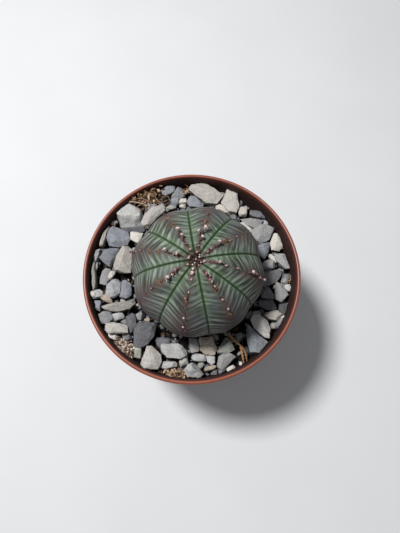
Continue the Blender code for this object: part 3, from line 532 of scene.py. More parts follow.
def ring_faces(rings, around, flipped=False):
    """Faces over rings of points, with one point before the first and one after the last."""
    faces = []
    end = 1 + rings * around
    for step in range(around):
        after = (step + 1) % around
        faces.append((0, 1 + after, 1 + step))
        for low in range(1, end - around, around):
            high = low + around
            faces.append((low + step, low + after, high + after, high + step))
        faces.append((end - around + step, end - around + after, end))
    if flipped:
        faces = [(face[0], *reversed(face[1:])) for face in faces]
    return faces


class Bundle:
    """Many small closed shapes gathered into one mesh, each point with its look."""

    def __init__(self):
        self.points = []
        self.faces = []
        self.looks = []

    def add(self, points, faces, looks):
        start = len(self.points)
        self.points.extend(points)
        self.faces.extend([[start + corner for corner in face] for face in faces])
        self.looks.extend(looks)

    def tube(self, path, radii, tint, chance, sides=7, flat=1.0):
        """A closed tube along a path, squashed by flat across one direction."""
        points, faces, looks = [], [], []
        side = Vector((0.3, 0.2, 1)).cross(path[-1] - path[0]).normalized()
        last = len(path) - 1
        for step, (place, radius) in enumerate(zip(path, radii)):
            ahead = (path[min(step + 1, last)] - path[max(step - 1, 0)]).normalized()
            side = (side - ahead * side.dot(ahead)).normalized()
            other = ahead.cross(side)
            for corner in range(sides):
                turn = 2 * math.pi * corner / sides
                reach = side * math.cos(turn) + other * math.sin(turn) * flat
                points.append(place + reach * radius)
                looks.append((step / last, tint, chance))
        for near in range(0, last * sides, sides):
            far = near + sides
            for corner in range(sides):
                after = (corner + 1) % sides
                faces.append((near + corner, near + after, far + after, far + corner))
        faces.append(tuple(reversed(range(sides))))
        faces.append(tuple(range(last * sides, (last + 1) * sides)))
        self.add(points, faces, looks)

    def lump(self, place, size, turn, tint, chance, rough=0.25, level=2):
        """A small irregular lump; size is its three half-widths."""
        ball = bmesh.new()
        bmesh.ops.create_icosphere(ball, subdivisions=level, radius=1)
        points, looks = [], []
        for vertex in ball.verts:
            swell = 1 + rough * noise.noise(vertex.co * 1.7 + Vector((chance * 40, tint * 9, 0)))
            shaped = Vector(a * b for a, b in zip(vertex.co * swell, size))
            points.append(place + turn @ shaped)
            looks.append(((vertex.co.z + 1) / 2, tint, chance))
        faces = [tuple(vertex.index for vertex in face.verts) for face in ball.faces]
        ball.free()
        self.add(points, faces, looks)

    def build(self, name, material, sharp_angle=50):
        mesh = new_mesh(name, self.points, self.faces)
        paint(mesh, "look", self.looks)
        return new_object(name, mesh, material, sharp_angle)


def soil_height(x, y):
    along = x * math.cos(SOIL_FALLS_TOWARD) + y * math.sin(SOIL_FALLS_TOWARD)
    return SOIL_CENTRE_HEIGHT - math.tan(SOIL_SLOPE) * along


def inner_radius(height):
    foot = BASE_RADIUS - WALL
    kink = RIM_RADIUS - COLLAR_TAPER - COLLAR_STEP - WALL
    if height < COLLAR_BOTTOM:
        return foot + (kink - foot) * height / COLLAR_BOTTOM
    lip = RIM_RADIUS - LIP_WIDTH
    return kink + (lip - kink) * (height - COLLAR_BOTTOM) / (LIP_BOTTOM - COLLAR_BOTTOM)


def polar(azimuth, distance_mm, over_soil_mm):
    """A point over the soil, given by its azimuth in degrees."""
    x, y = spun(distance_mm * MM, math.radians(azimuth))
    return Vector((x, y, soil_height(x, y) + over_soil_mm * MM))


def kept_in_pot(point):
    """The point, drawn in from the wall if it would stand in it."""
    radius = math.hypot(point.x, point.y)
    pull = min(1, (inner_radius(point.z) - WALL_CLEARANCE) / radius)
    return Vector((point.x * pull, point.y * pull, point.z))


# Pot


def arc(centre, radius, start, end, steps):
    """Points of a round corner in the (radius, height) plane, angles in degrees."""
    points = []
    for step in range(steps + 1):
        across, up = spun(radius, math.radians(start + (end - start) * step / steps))
        points.append((centre[0] + across, centre[1] + up))
    return points


def lip_curve():
    """The lip's top, a flattened half round from the outside in."""
    points = []
    for step in range(21):
        angle = math.pi * step / 20
        radius = RIM_RADIUS - LIP_WIDTH / 2 + LIP_WIDTH / 2 * math.cos(angle)
        points.append((radius, LIP_BOTTOM + LIP_ROUND * math.sin(angle) ** 0.8))
    return points


def pot_profile():
    """(radius, height) from under the floor's middle, out, up, over the lip and back in."""
    collar_low = RIM_RADIUS - COLLAR_TAPER
    body_top = inner_radius(COLLAR_BOTTOM) + WALL
    profile = [(0, FOOT_RECESS), (FOOT_INNER - SOFT, FOOT_RECESS)]
    profile += arc((FOOT_INNER - SOFT, FOOT_RECESS - SOFT), SOFT, 90, 0, 3)
    profile += [(FOOT_INNER, SOFT)]
    profile += arc((FOOT_INNER + SOFT, SOFT), SOFT, 180, 270, 3)
    profile += arc((BASE_RADIUS - EDGE_ROUND, EDGE_ROUND), EDGE_ROUND, -90, -10, 5)
    for step in range(1, 24):
        height = EDGE_ROUND + (COLLAR_BOTTOM - SOFT - EDGE_ROUND) * step / 24
        profile.append((inner_radius(height) + WALL, height))
    profile += arc((body_top + SOFT, COLLAR_BOTTOM - SOFT), SOFT, 180, 90, 4)
    profile += arc((collar_low - SOFT, COLLAR_BOTTOM + SOFT), SOFT, -90, 0, 4)
    for step in range(1, 5):
        share = step / 5
        profile.append((collar_low + COLLAR_TAPER * share, COLLAR_BOTTOM + COLLAR_HEIGHT * share))
    profile += lip_curve()
    for step in range(1, 16):
        height = LIP_BOTTOM + (FLOOR_TOP + FLOOR_CORNER - LIP_BOTTOM) * step / 16
        profile.append((inner_radius(height), height))
    corner = (inner_radius(FLOOR_TOP) - FLOOR_CORNER, FLOOR_TOP + FLOOR_CORNER)
    return profile + arc(corner, FLOOR_CORNER, 0, -90, 5) + [(0, FLOOR_TOP)]


def drain_cutter():
    """The drain holes in the floor and the notches in the foot, as one solid to cut away."""
    shape = bmesh.new()
    ring = FOOT_INNER - DRAIN_MARGIN - DRAIN_RADIUS
    for place in [(0, 0, FLOOR_TOP / 2)] + circle(ring, FLOOR_TOP / 2, DRAIN_HOLES):
        bmesh.ops.create_cone(shape, cap_ends=True, segments=40, radius1=DRAIN_RADIUS,
                              radius2=DRAIN_RADIUS, depth=FLOOR_TOP * 2,
                              matrix=Matrix.Translation(place))
    for notch in range(FOOT_NOTCHES):
        angle = math.radians(45 + 360 * notch / FOOT_NOTCHES)
        size = Matrix.Diagonal((FOOT_WIDTH * 3, NOTCH_WIDTH, NOTCH_HEIGHT * 2, 1))
        middle = Matrix.Translation((BASE_RADIUS - FOOT_WIDTH / 2, 0, 0))
        bmesh.ops.create_cube(shape, size=1, matrix=Matrix.Rotation(angle, 4, "Z") @ middle @ size)
    mesh = bpy.data.meshes.new("drain_cutter")
    shape.to_mesh(mesh)
    shape.free()
    return linked("drain_cutter", mesh)


def paint_sides(mesh):
    """For each point: 1 on the inside of the wall, and its share of the pot's height."""
    sides = []
    for vertex in mesh.vertices:
        radius, height = vertex.co.xy.length, vertex.co.z
        middle = RIM_RADIUS - LIP_WIDTH * 0.75
        if height < LIP_BOTTOM:
            middle = inner_radius(height) + WALL / 2
        inside = height > FLOOR_TOP - 0.1 * MM and radius < middle
        sides.append((float(inside), height / RIM_HEIGHT, 0))
    paint(mesh, "side", sides)


def make_pot():
    profile = pot_profile()
    points = [(0, 0, profile[0][1])]
    for radius, height in profile[1:-1]:
        points += circle(radius, height, POT_SIDES)
    points.append((0, 0, profile[-1][1]))
    mesh = new_mesh("pot_shell", points, ring_faces(len(profile) - 2, POT_SIDES))
    pot = new_object("pot_shell", mesh, pot_plastic(), 32)
    cutter = drain_cutter()
    cut = pot.modifiers.new("drains", "BOOLEAN")
    cut.operation = "DIFFERENCE"
    cut.solver = "EXACT"
    cut.object = cutter
    view = bpy.context.evaluated_depsgraph_get()
    whole = bpy.data.meshes.new_from_object(pot.evaluated_get(view))
    merged = bmesh.new()
    merged.from_mesh(whole)
    bmesh.ops.remove_doubles(merged, verts=merged.verts[:], dist=MERGE)
    merged.to_mesh(whole)
    merged.free()
    pot.modifiers.clear()
    pot.data = whole
    paint_sides(whole)
    bpy.data.objects.remove(cutter)
    finish_piece(pot, "terracotta_plastic", "pot")


# Plant


def rib_factor(azimuth, fade):
    wave = 0.5 + 0.5 * math.cos(azimuth * RIBS)
    return 1 - RIB_DEPTH * fade * wave * wave


def globe_point(crown_angle, azimuth, detail=True):
    """A point of the skin in the plant's own frame; azimuth 0 is its first furrow."""
    angle = math.radians(crown_angle)
    rise = CROWN_RISE if crown_angle < 90 else UNDERSIDE_DROP
    flat = GLOBE_RADIUS * math.sin(angle)
    dimple = DIMPLE_DEPTH * math.exp(-((flat / DIMPLE_RADIUS) ** 2))
    past = max(crown_angle - 90, 0) / (UNDERSIDE_END - 90)
    radius = flat * rib_factor(azimuth, 1 - past)
    height = EQUATOR_HEIGHT + rise * math.cos(angle) - dimple
    if detail:
        turn = (azimuth * RIBS / (2 * math.pi)) % 1.0
        aside = min(turn, 1 - turn) * 2 * math.pi / RIBS * flat
        fade = min(1, flat / (2.5 * MM)) * (1 - past)
        sunk = GROOVE_DEPTH * math.exp(-((aside / GROOVE_WIDTH) ** 2)) * fade
        radius -= sunk * math.sin(angle)
        height -= sunk * max(math.cos(angle), 0)
    return Vector((radius * math.cos(azimuth), radius * math.sin(azimuth), height))


def leaned(point):
    """A point on the plant, moved to where it stands in the pot."""
    rise = max(point.z - EQUATOR_HEIGHT, 0) / CROWN_RISE
    turned = Matrix.Rotation(FURROW_START, 3, "Z") @ point
    return turned + PLANT + CROWN_LEAN * rise * rise


def crest_azimuth(rib):
    return 2 * math.pi * (rib + 0.5) / RIBS


def crest_frame(rib, crown_angle, aside=0.0):
    """Where a crest's skin is, and its outward, downhill and sideways directions."""
    azimuth = crest_azimuth(rib) + aside / max(GLOBE_RADIUS * math.sin(math.radians(crown_angle)), MM)
    here = leaned(globe_point(crown_angle, azimuth, False))
    below = leaned(globe_point(crown_angle + 1.5, azimuth, False))
    beside = leaned(globe_point(crown_angle, azimuth + 0.03, False))
    downhill = (below - here).normalized()
    normal = downhill.cross((beside - here).normalized()).normalized()
    return here, normal, downhill, normal.cross(downhill)


def scar_strength(rib_turn, crown_angle, scars):
    """How much of the flower scars' rust reaches a point near a crest."""
    rib = int(rib_turn) % RIBS
    across = (rib_turn % 1.0 - 0.5) * 2 * math.pi / RIBS
    flat_mm = GLOBE_RADIUS / MM * math.sin(math.radians(crown_angle))
    total = 0.0
    for angle, size in scars[rib]:
        down_mm = math.radians(crown_angle - angle) * GLOBE_RADIUS / MM * 0.92
        reach = 1.05 * size
        far = (across * flat_mm / reach) ** 2 + (down_mm / (reach * 1.1)) ** 2
        if far < 9:
            total += math.exp(-far)
    return min(total, 1.0)


def make_globe():
    """The globe, neck and taproot as one skin, with its places painted on for the bands."""
    around = RIBS * COLUMNS_PER_RIB
    scars = [[(angle, size * (1.6 if kind == "scar" else 1.0)) for angle, kind, size in row]
             for row in FLOWER_ROWS]
    # Each point with what is painted on it: its place on the rib, then its marks
    skin = [(leaned(globe_point(0, 0)), (0.5, 0, 0), (0.6, 1, 0))]
    arc_mm = 0.0
    previous = globe_point(0, 0, False)
    for row in range(1, ROWS + 1):
        crown_angle = UNDERSIDE_END * (row / ROWS) ** 0.93
        crest = globe_point(crown_angle, math.pi / RIBS, False)
        step = Vector((crest.xy.length, crest.z)) - Vector((previous.xy.length, previous.z))
        arc_mm += step.length / MM
        previous = crest
        flat_mm = GLOBE_RADIUS / MM * math.sin(math.radians(crown_angle))
        for column in range(around):
            rib_turn = column / COLUMNS_PER_RIB
            place = leaned(globe_point(crown_angle, 2 * math.pi * rib_turn / RIBS))
            ripple = noise.noise(place * 90) * 0.16 * MM + noise.noise(place * 330) * 0.05 * MM
            outward = (place - PLANT - Vector((0, 0, EQUATOR_HEIGHT - 4 * MM))).normalized()
            turn = rib_turn % 1.0
            aside = min(turn, 1 - turn) * 2 * math.pi / RIBS
            skew = math.cos(min(aside * 1.45, 1.2))
            rib = (1 - abs(turn - 0.5) * 2, arc_mm * skew, min(crown_angle / 90, 1.2))
            rust = scar_strength(rib_turn, crown_angle, scars)
            marks = (rust, aside * flat_mm, math.floor(rib_turn + 0.5) % RIBS * 7.3)
            skin.append((place + outward * ripple, rib, marks))
    for radius_mm, height_mm in NECK:
        for place in circle(radius_mm, height_mm, around):
            skin.append((leaned(Vector(place) * MM), (0.5, arc_mm, 1.2), (0.5, 3, 0)))
    skin.append((leaned(Vector((0, 0, ROOT_TIP))), (0.5, arc_mm, 1.2), (0.5, 3, 0)))
    points, ribs, marks = zip(*skin)
    mesh = new_mesh("euphorbia_globe", points, ring_faces(ROWS + len(NECK), around, True))
    paint(mesh, "rib", ribs)
    paint(mesh, "marks", marks)
    finish_piece(new_object("euphorbia_globe", mesh, stem_skin()), "stem_skin", "stem")


def add_stub(bundle, chance, rib, crown_angle, size, tint=0.1, aside=0.0):
    """A withered flower stalk that lies outward along the crest and ends in a pale cup."""
    here, normal, downhill, sideways = crest_frame(rib, crown_angle, aside)
    length = size * chance.uniform(1.7, 2.4) * MM
    sway = chance.uniform(-0.5, 0.5)
    path, radii = [], []
    for step in range(9):
        share = step / 8
        run = downhill * (share * 0.75) + sideways * (share * sway * share)
        lift = normal * (0.72 * math.sin(share * 1.9) - 0.12)
        path.append(here + (run + lift) * length)
        waist = 0.36 + 0.14 * math.sin(share * 9 + chance.uniform(-0.5, 0.5))
        cup = 0.42 * math.exp(-((share - 0.8) / 0.15) ** 2)
        radii.append((waist + cup) * size * 0.74 * MM * (0.35 if step == 8 else 1))
    bundle.tube(path, radii, tint, chance.random())
    return path[-2], normal, downhill, sideways


def add_prongs(bundle, chance, tip, normal, downhill, sideways, size):
    """Three thin arms spreading from a stalk's tip."""
    for spread in (-0.75, 0.1, 0.8):
        reach = size * chance.uniform(0.7, 1.2) * MM
        path, radii = [], []
        for step in range(6):
            share = step / 5
            run = downhill * share * 0.8 + sideways * spread * share + normal * share * (1 - share) * 0.6
            path.append(tip + run * reach)
            radii.append(size * 0.24 * MM * (1 - 0.45 * share))
        bundle.tube(path, radii, 0.05, chance.random(), 6)


def add_scar(bundle, chance, rib, crown_angle, size, tint=0.95):
    """A corky mound left where a flower fell, with a few grains round it."""
    for grain in range(9):
        aside = chance.gauss(0, 0.46) * size * MM * (0 if grain == 0 else 1)
        shift = chance.gauss(0, 1.2) * size * (0 if grain == 0 else 1)
        here, normal, downhill, sideways = crest_frame(rib, crown_angle + shift, aside)
        half = size * (0.46 if grain == 0 else chance.uniform(0.12, 0.32)) * MM
        turn = Matrix((downhill, sideways, normal)).transposed()
        shape = (half * 1.2, half * 0.85, half * 0.62)
        bundle.lump(here + normal * half * 0.15, shape, turn, tint, chance.random(), 0.6)


def add_bud(bundle, chance, rib, crown_angle, size, tint):
    """A round bud with four small points on top."""
    aside = chance.uniform(-0.25, 0.25) * MM
    here, normal, downhill, sideways = crest_frame(rib, crown_angle, aside)
    turn = Matrix((downhill, sideways, normal)).transposed()
    half = size * 0.66 * MM
    shape = (half, half * 0.85, half)
    bundle.lump(here + normal * half * 0.55, shape, turn, tint, chance.random(), 0.45)
    crown = here + normal * half * 1.35 + downhill * half * 0.2
    for petal in range(4):
        angle = petal * math.pi / 2 + chance.uniform(-0.4, 0.4)
        edge = (downhill * math.cos(angle) + sideways * math.sin(angle)) * half * 0.45
        small = half * 0.34
        bundle.lump(crown + edge, (small, small, small), turn, 0.05, chance.random(), 0.4, 1)


def make_flower_rows(flesh):
    for rib, row in enumerate(FLOWER_ROWS):
        chance = random.Random(50 + rib)
        bundle = Bundle()
        on_rib = (bundle, chance, rib)
        for at, kind, size in row:
            if kind in ("stub", "fork"):
                end = add_stub(*on_rib, at, size * 1.1)
                if kind == "fork":
                    add_prongs(bundle, chance, *end, size)
                    add_stub(*on_rib, at - 1.5, size * 0.8, 0.1, 0.5 * MM)
                add_scar(*on_rib, at - 1.2, size * 0.7)
            elif kind == "dark":
                add_scar(*on_rib, at, size)
                add_stub(*on_rib, at, size * 0.5, 0.2)
            elif kind == "bud":
                add_scar(*on_rib, at - 0.8, size * 0.7)
                add_bud(*on_rib, at, size, 0.15)
            elif kind == "cap":
                add_scar(*on_rib, at, size)
                add_bud(*on_rib, at, size * 0.7, 0.45)
            else:
                add_scar(*on_rib, at, size * 1.3, 0.68)
        finish_piece(bundle.build(f"flower_row_{rib + 1}", flesh), "dry_flower", f"flower_{rib + 1}")


def make_crown_buds():
    """Tiny buds crowded in the dimple, the oldest at its edge."""
    chance = random.Random(9)
    bundle = Bundle()
    for number in range(26):
        angle = number * 2.4
        flat_mm = 0.5 * math.sqrt(number)
        crown_angle = math.degrees(math.asin(flat_mm * MM / GLOBE_RADIUS))
        here = leaned(globe_point(crown_angle, angle, False))
        half = chance.uniform(0.28, 0.48) * MM
        tint = chance.choice([0.05, 0.9, 0.2, 0.95, 0.95])
        turn = Matrix.Rotation(chance.uniform(0, 6), 3, "Z")
        shape = (half, half * chance.uniform(0.7, 1), half * chance.uniform(1.0, 1.7))
        bundle.lump(here + Vector((0, 0, half * 0.7)), shape, turn, tint, chance.random(), 0.5)
    piece = bundle.build("crown_bud_cluster", flower_flesh("flower_buds"))
    finish_piece(piece, "flower_buds", "crown_buds")


# Soil


def make_soil():
    """The potting mix with a crumbly top; its side and underside follow the pot."""
    around, rings = 160, 46
    bottom, low = FLOOR_TOP + SOIL_CLEARANCE, 6 * MM
    outline = [(inner_radius(bottom) - 2.3 * MM, bottom), (inner_radius(low) - SOIL_CLEARANCE, low)]
    for share in (0.25, 0.5, 0.75):
        height = SOIL_CENTRE_HEIGHT * share
        outline.append((inner_radius(height) - SOIL_CLEARANCE, height))
    points = [(0, 0, bottom)]
    for radius, height in outline:
        points += circle(radius, height, around)
    edge = inner_radius(SOIL_CENTRE_HEIGHT - MM) - SOIL_CLEARANCE
    for ring in range(rings):
        for x, y, _level in circle(edge * (1 - ring / rings), 0, around):
            crumbs = noise.noise(Vector((x, y, 0)) * 420) * 0.5
            crumbs += noise.noise(Vector((x, y, 3)) * 1100) * 0.3
            height = soil_height(x, y) + crumbs * MM - SOIL_CLEARANCE
            from_plant = math.hypot(x - PLANT.x, y - PLANT.y)
            if from_plant < HOLLOW_RADIUS:
                height = min(height, EQUATOR_HEIGHT - HOLLOW_DEPTH + from_plant)
            points.append((x, y, height))
    points.append((0, 0, points[-1][2]))
    mesh = new_mesh("soil_surface", points, ring_faces(len(outline) + rings, around))
    finish_piece(new_object("soil_surface", mesh, potting_mix(), 60), "potting_mix", "soil")


# Stones


def remeshed(source, voxel):
    """The source mesh with even small faces and softly rounded edges."""
    carrier = linked("carrier", source)
    even = carrier.modifiers.new("even", "REMESH")
    even.mode = "VOXEL"
    even.voxel_size = voxel
    view = bpy.context.evaluated_depsgraph_get()
    mesh = bpy.data.meshes.new_from_object(carrier.evaluated_get(view))
    bpy.data.objects.remove(carrier)
    return mesh


def chipped(shape, cuts):
    """Slice facets off a closed shape: each cut is azimuth, rise above level and depth share."""
    for azimuth, rise, share in cuts:
        tilt = math.radians(rise)
        facing = Vector((*spun(math.cos(tilt), math.radians(azimuth)), math.sin(tilt)))
        reach = [facing.dot(vertex.co) for vertex in shape.verts]
        limit = max(reach) - share * (max(reach) - min(reach))
        parts = shape.verts[:] + shape.edges[:] + shape.faces[:]
        bmesh.ops.bisect_plane(shape, geom=parts, plane_co=facing * limit, plane_no=facing,
                               clear_outer=True)
        bmesh.ops.contextual_create(shape, geom=[edge for edge in shape.edges if edge.is_boundary])
        bmesh.ops.remove_doubles(shape, verts=shape.verts[:], dist=0.02)


def random_cuts(chance, count):
    cuts = []
    start = chance.uniform(0, 360)
    for number in range(count):
        azimuth = start + 360 * number / count + chance.uniform(-25, 25)
        cuts.append((azimuth, chance.choice([10, 25, 40, 55]), chance.uniform(0.04, 0.14)))
    return cuts


def chipped_copy(source, cuts, swell):
    """The mesh with its facets cut, swollen a little about its middle to close the gaps."""
    shape = bmesh.new()
    shape.from_mesh(source)
    middle = sum((vertex.co for vertex in shape.verts), Vector()) / len(shape.verts)
    for vertex in shape.verts:
        vertex.co = (vertex.co - middle) * swell / MM
    chipped(shape, cuts)
    for vertex in shape.verts:
        vertex.co = vertex.co * MM + middle
    mesh = bpy.data.meshes.new("chipped")
    bmesh.ops.recalc_face_normals(shape, faces=shape.faces[:])
    shape.to_mesh(mesh)
    shape.free()
    return mesh


def weathered(mesh, seed, depth, terrace):
    """Bend the facets a little, then chip and pit them; slate also gets faint layers."""
    count = len(mesh.vertices)
    places = np.empty(count * 3, dtype=np.float32)
    normals = np.empty(count * 3, dtype=np.float32)
    mesh.vertices.foreach_get("co", places)
    mesh.vertex_normals.foreach_get("vector", normals)
    places, normals = places.reshape(-1, 3), normals.reshape(-1, 3)
    shift = np.zeros((count, 1), dtype=np.float32)
    bend = np.zeros((count, 3), dtype=np.float32)
    start = Vector((seed * 3.1, seed * 1.7, seed * 0.9))
    layer = Vector((math.sin(seed), math.cos(seed * 1.3), 1.4 + math.sin(seed * 2.1))).normalized()
    for index, place in enumerate(places):
        at = Vector(place) / MM
        value = noise.noise(at * 0.7 + start) * 0.8 + noise.noise(at * 1.7 + start) * 0.5
        value += noise.noise(at * 4.1 + start) * 0.22
        if terrace:
            height = at.dot(layer) * 0.9 + noise.noise(at * 0.3 + start) * 1.2
            value += (abs((height % 1.0) - 0.5) * 2 - 0.5) * terrace
        shift[index] = value
        bend[index] = noise.noise_vector(at * 0.33 + start)
    places += normals * shift * depth + bend * STONE_BEND
    mesh.vertices.foreach_set("co", places.ravel())
    mesh.update()


def make_large_stones(finishes):
    slots = {entry["node"]: entry["material_slot"] for entry in frame["record"]["subparts"]}
    for name, slot in sorted(slots.items()):
        if not name.startswith("gravel_"):
            continue
        number = int(name.split("_")[1])
        chance = random.Random(number)
        source = chipped_copy(frame["nodes"][name].data, random_cuts(chance, 2), 1.12)
        mesh = remeshed(source, STONE_VOXEL)
        terrace = 0.5 if slot in ("stone_slate", "stone_blue_grey") else 0.15
        weathered(mesh, number, 0.14 * MM, terrace)
        paint(mesh, "look", [(chance.random(), chance.random(), 0)] * len(mesh.vertices))
        finish_piece(new_object(f"stone_{number:02d}", mesh, finishes[slot]), slot, name)


def broken_stone(chance, place, size, turn):
    """Points, faces and looks of a hull round points on a squarish ellipsoid, then chipped."""
    shape = bmesh.new()
    tilt = Matrix.Rotation(chance.uniform(-0.25, 0.25), 4, "X")
    placed = Matrix.Translation(place) @ tilt @ Matrix.Rotation(turn, 4, "Z")
    for step in range(13):
        height = 1 - 2 * (step + 0.5) / 13
        swing = 2.4 * step + chance.uniform(-0.5, 0.5)
        ball = (*spun(math.sqrt(1 - height * height), swing), height)
        corner = Vector(math.copysign(abs(v) ** 0.7, v) * s / 2 for v, s in zip(ball, size))
        shape.verts.new((placed @ (corner * 1.12)) / MM)
    hull = bmesh.ops.convex_hull(shape, input=shape.verts[:])
    spare = {part for part in hull["geom_interior"] + hull["geom_unused"]
             if isinstance(part, bmesh.types.BMVert)}
    bmesh.ops.delete(shape, geom=list(spare), context="VERTS")
    middle = place / MM
    bmesh.ops.translate(shape, verts=shape.verts[:], vec=-middle)
    chipped(shape, random_cuts(chance, 5))
    bmesh.ops.translate(shape, verts=shape.verts[:], vec=middle)
    bmesh.ops.recalc_face_normals(shape, faces=shape.faces[:])
    points = [kept_in_pot(vertex.co * MM) for vertex in shape.verts]
    shape.verts.index_update()
    faces = [[vertex.index for vertex in face.verts] for face in shape.faces]
    shape.free()
    return points, faces, [(0, 0, 0)] * len(points)


def taken_space():
    """A tree of the surfaces that small stones keep out of."""
    points, faces = [], []
    for name, node in frame["nodes"].items():
        if name.startswith("gravel_") or name in ("stem", "bark_litter", "grit_patch"):
            start = len(points)
            points.extend(vertex.co.copy() for vertex in node.data.vertices)
            faces.extend([start + corner for corner in face.vertices] for face in node.data.polygons)
    return BVHTree.FromPolygons(points, faces)


def in_open_gap(x, y):
    for azimuth, distance, radius in OPEN_GAPS:
        gap_x, gap_y = spun(distance * MM, math.radians(azimuth))
        if math.hypot(x - gap_x, y - gap_y) < radius * MM:
            return True
    return False


def make_small_stones(finishes):
    """Stones between the large ones, gathered by tone, and finer chips under them."""
    groups = {tone: Bundle() for tone in TONES}
    for number, row in enumerate(SMALL_STONES):
        azimuth, distance, length, width, turn, lift, tone = row
        x, y = spun(distance * MM, math.radians(azimuth))
        thickness = min(max(width * 0.8, 1.6), 3.2) * MM
        place = Vector((x, y, soil_height(x, y) + lift * MM + thickness / 2))
        size = (length * MM, width * MM, thickness)
        stone = broken_stone(random.Random(300 + number), place, size, math.radians(turn))
        groups[tone].add(*stone)
    space = taken_space()
    chance = random.Random(77)
    for _filler in range(FILLER_STONES):
        angle = chance.uniform(0, 2 * math.pi)
        x, y = spun(chance.uniform(22, 39.4) * MM, angle)
        half = chance.choice([0.5, 0.7, 0.9, 1.2, 1.5]) * MM
        place = Vector((x, y, soil_height(x, y) + half * chance.uniform(0.2, 1.3)))
        gap = space.find_nearest(place)[3]
        if gap is None or gap < half * 0.55 or in_open_gap(x, y):
            continue
        size = (half * 2.4, half * chance.uniform(1.3, 2), half * 1.5)
        stone = broken_stone(chance, place, size, chance.uniform(0, 3))
        groups[chance.choice(FILLER_TONES_AS_SHADE)].add(*stone)
    for tone, bundle in groups.items():
        mesh = remeshed(new_mesh("rough", bundle.points, bundle.faces), CHIP_VOXEL)
        weathered(mesh, 60 + len(tone), 0.1 * MM, 0.2)
        looks = []
        for vertex in mesh.vertices:
            cell = noise.cell(vertex.co / (5 * MM))
            looks.append((0.3, 0.5 + 0.5 * noise.noise(vertex.co / (4 * MM)) + 0.1 * cell, 0))
        paint(mesh, "look", looks)
        slot = f"stone_{tone}"
        finish_piece(new_object(f"small_stones_{tone}", mesh, finishes[slot]), slot)


# Dry bits


def smooth_path(points, steps):
    """Catmull-Rom points through the given ones."""
    padded = [points[0]] + list(points) + [points[-1]]
    path = []
    for index in range(1, len(padded) - 2):
        before, start, end, after = padded[index - 1:index + 3]
        for step in range(steps):
            t = step / steps
            path.append(0.5 * ((2 * start) + (end - before) * t
                               + (2 * before - 5 * start + 4 * end - after) * t * t
                               + (3 * start - before - 3 * end + after) * t ** 3))
    path.append(points[-1])
    return path


def strand(bundle, points, radius_mm, chance, flat=1.0, steps=6):
    """A tapering, slightly knotted strand, kept inside the pot."""
    path = smooth_path([kept_in_pot(point) for point in points], steps)
    radii = []
    for index in range(len(path)):
        taper = 1 - 0.55 * (index / (len(path) - 1))
        radii.append(radius_mm * MM * taper * (1 + 0.22 * math.sin(index * 1.7 + radius_mm * 9)))
    bundle.tube(path, radii, 0.0, chance, 8, flat)


def add_crumb(bundle, chance, place, size, rough, tinted=False):
    """A grain kept inside the pot and turned at random; a tinted one also draws its tint."""
    turn = Matrix.Rotation(chance.uniform(0, 3), 3, "Z")
    tint = chance.random() if tinted else 0
    bundle.lump(kept_in_pot(place), size, turn, tint, chance.random(), rough, 1)


def make_bark_litter():
    """A clump of curled bark flakes and straw between the stones and the wall."""
    chance = random.Random(21)
    bundle = Bundle()
    azimuth, distance = BARK_AT
    for _flake in range(140):
        out_mm = distance + chance.gauss(0, 1.5)
        lift_mm = chance.uniform(0.6, 4.4) + min(max(out_mm - 37.5, 0), 2.2) * 1.3
        base = polar(azimuth + chance.gauss(0, 4.4), out_mm, lift_mm)
        heading = chance.uniform(0, 2 * math.pi)
        run = Vector((*spun(1, heading), chance.uniform(-0.3, 0.5)))
        length = chance.uniform(0.8, 2.6) * MM
        curl = Vector((0, 0, chance.uniform(-0.4, 0.5) * length))
        points = [base, base + run * length * 0.5 + curl, base + run * length]
        strand(bundle, points, chance.uniform(0.35, 0.95), chance.random(), chance.uniform(0.25, 0.6), 3)
    for _straw in range(16):
        base = polar(119 + chance.gauss(0, 5.0), 38.0 + chance.gauss(0, 1.6), chance.uniform(2.6, 5.6))
        heading = chance.uniform(0, 2 * math.pi)
        run = Vector((*spun(1, heading), chance.uniform(-0.15, 0.2)))
        length = chance.uniform(2.5, 5.5) * MM
        bend = Vector((chance.uniform(-0.3, 0.3), chance.uniform(-0.3, 0.3), chance.uniform(0, 0.3)))
        points = [base, base + (run * 0.5 + bend) * length, base + run * length]
        strand(bundle, points, 0.13, 0.7 + 0.3 * chance.random(), 1.0, 5)
    bark = dry_plant("bark_litter", (66, 44, 32), (146, 112, 84), (212, 188, 160))
    finish_piece(bundle.build("bark_litter_clump", bark), "bark_litter", "bark_litter")
    return bark


def make_straws(bark):
    """Single dry strands: one crossing to the rim, a loop by the stones, and crumbs."""
    chance = random.Random(33)
    bundle = Bundle()
    crossing = [(131, 40.0, 7.0), (128, 38.6, 6.2), (124, 36.4, 5.0), (121, 34.6, 4.0)]
    strand(bundle, [polar(*place) for place in crossing], 0.32, 0.95)
    loop = [(112.5, 34.2, 3.6), (111, 36.0, 4.8), (107.5, 35.8, 4.8), (106.5, 33.8, 4.0),
            (110, 33.0, 3.6), (112.5, 33.8, 3.4)]
    strand(bundle, [polar(*place) for place in loop], 0.3, 0.35)
    for azimuth, distance, heading, length in RIM_STRAWS:
        base = polar(azimuth, distance, 3.6)
        run = Vector((*spun(1, math.radians(heading)), 0.15))
        middle = base + (run * 0.5 + Vector((0, 0, 0.15))) * length * MM
        points = [base, middle, base + run * length * MM]
        strand(bundle, points, 0.24, chance.uniform(0.3, 1.0))
    for number in range(150):
        azimuth = (259 if number < 110 else 93.5) + chance.gauss(0, 3.4)
        place = polar(azimuth, 38.7 + chance.gauss(0, 0.9), chance.uniform(0.6, 2.6))
        half = chance.uniform(0.2, 0.6) * MM
        add_crumb(bundle, chance, place, (half * 1.7, half, half * 0.6), 0.8)
    finish_piece(bundle.build("loose_straws", bark), "bark_litter")


